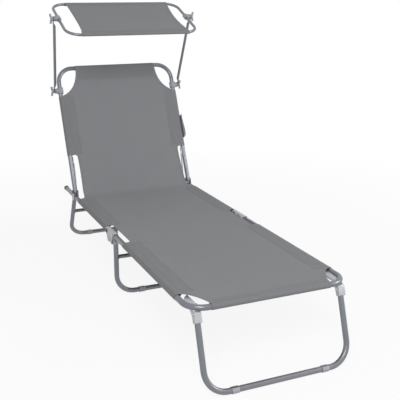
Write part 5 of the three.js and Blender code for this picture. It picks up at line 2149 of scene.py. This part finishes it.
@dataclass
class Studio:
    """A white floor and background, soft lamps and the camera."""

    lens: float = 65.5509
    sensor: float = 36.0
    camera_at: tuple[float, float, float] = (-1.030939, -2.506209, 1.158639)
    yaw: float = 0.4182098
    pitch: float = -0.2849389
    roll: float = 0.0023079
    ambient: float = 0.4
    floor_white: float = 0.88

    def build(self) -> None:
        """Sets up the camera, the light, the floor and the background."""
        self.camera()
        self.floor()
        self.world()
        self.lamp("key_light", (-1.5, -3.0, 2.9), 1.6, 62)
        self.lamp("fill_light", (2.8, -1.6, 1.7), 1.4, 44)
        bpy.context.scene.view_settings.view_transform = "Standard"

    def camera(self) -> None:
        """Places the camera at the photograph's viewing angle."""
        data = bpy.data.cameras.new("camera")
        data.lens = self.lens
        data.sensor_width = self.sensor
        data.clip_end = 100
        camera = placed("camera", data)
        turn = (
            Matrix.Rotation(-self.yaw, 4, "Z")
            @ Matrix.Rotation(QUARTER + self.pitch, 4, "X")
            @ Matrix.Rotation(self.roll, 4, "Z")
        )
        camera.matrix_world = Matrix.Translation(self.camera_at) @ turn
        bpy.context.scene.camera = camera

    def lamp(self, name: str, place: tuple[float, float, float], size: float, power: float) -> None:
        """Hangs a soft square lamp that looks at the lounger.

        Args:
            name: the lamp's name.
            place: where it hangs.
            size: the length of its side.
            power: its power in watts.
        """
        data = bpy.data.lights.new(name, "AREA")
        data.size = size
        data.energy = power
        lamp = placed(name, data)
        lamp.location = place
        way = Vector((0, 0, 0.35)) - Vector(place)
        lamp.rotation_euler = way.to_track_quat("-Z", "Y").to_euler()

    def floor(self) -> None:
        """Lays a plain white floor that keeps the lounger's shadow."""
        floor = new_primitive("floor", bpy.ops.mesh.primitive_plane_add, size=40)
        recipe = Recipe("white_floor")
        x, y, _ = recipe.axes(recipe.place())
        far = ((x * x + y * y).root() - 1.1) / 1.6
        white_share = self.floor_white + (1 - self.floor_white) * far.clamp()
        shown = recipe.seen() * white_share
        matt = recipe.node("ShaderNodeBsdfDiffuse", None, {"Color": opaque(0.86), "Roughness": 0.6})
        white = recipe.node("ShaderNodeEmission", None, {"Color": WHITE, "Strength": 1.0})
        both = recipe.node("ShaderNodeMixShader", None, {0: shown, 1: matt.outputs[0], 2: white.outputs[0]})
        floor.data.materials.append(recipe.shown(both))

    def world(self) -> None:
        """Surrounds the scene with even light that shows as white."""
        room = Recipe("white_room", "World")
        bpy.context.scene.world = room.material
        strength = self.ambient + (1 - self.ambient) * room.seen()
        room.shown(room.node("ShaderNodeBackground", None, {"Color": WHITE, "Strength": strength}))


def main() -> None:
    """Builds the lounger piece by piece and sets the stage."""
    logging.basicConfig(level=logging.INFO, format="%(message)s")
    clear_selection()
    plan = read_plan()
    palette = Palette()
    Studio().build()
    for group in (Undercarriage, Fittings, Superstructure, Knobs, Sling, ShadeCloth, SidePocket):
        group(plan, palette).build()


if __name__ == "__main__":
    main()
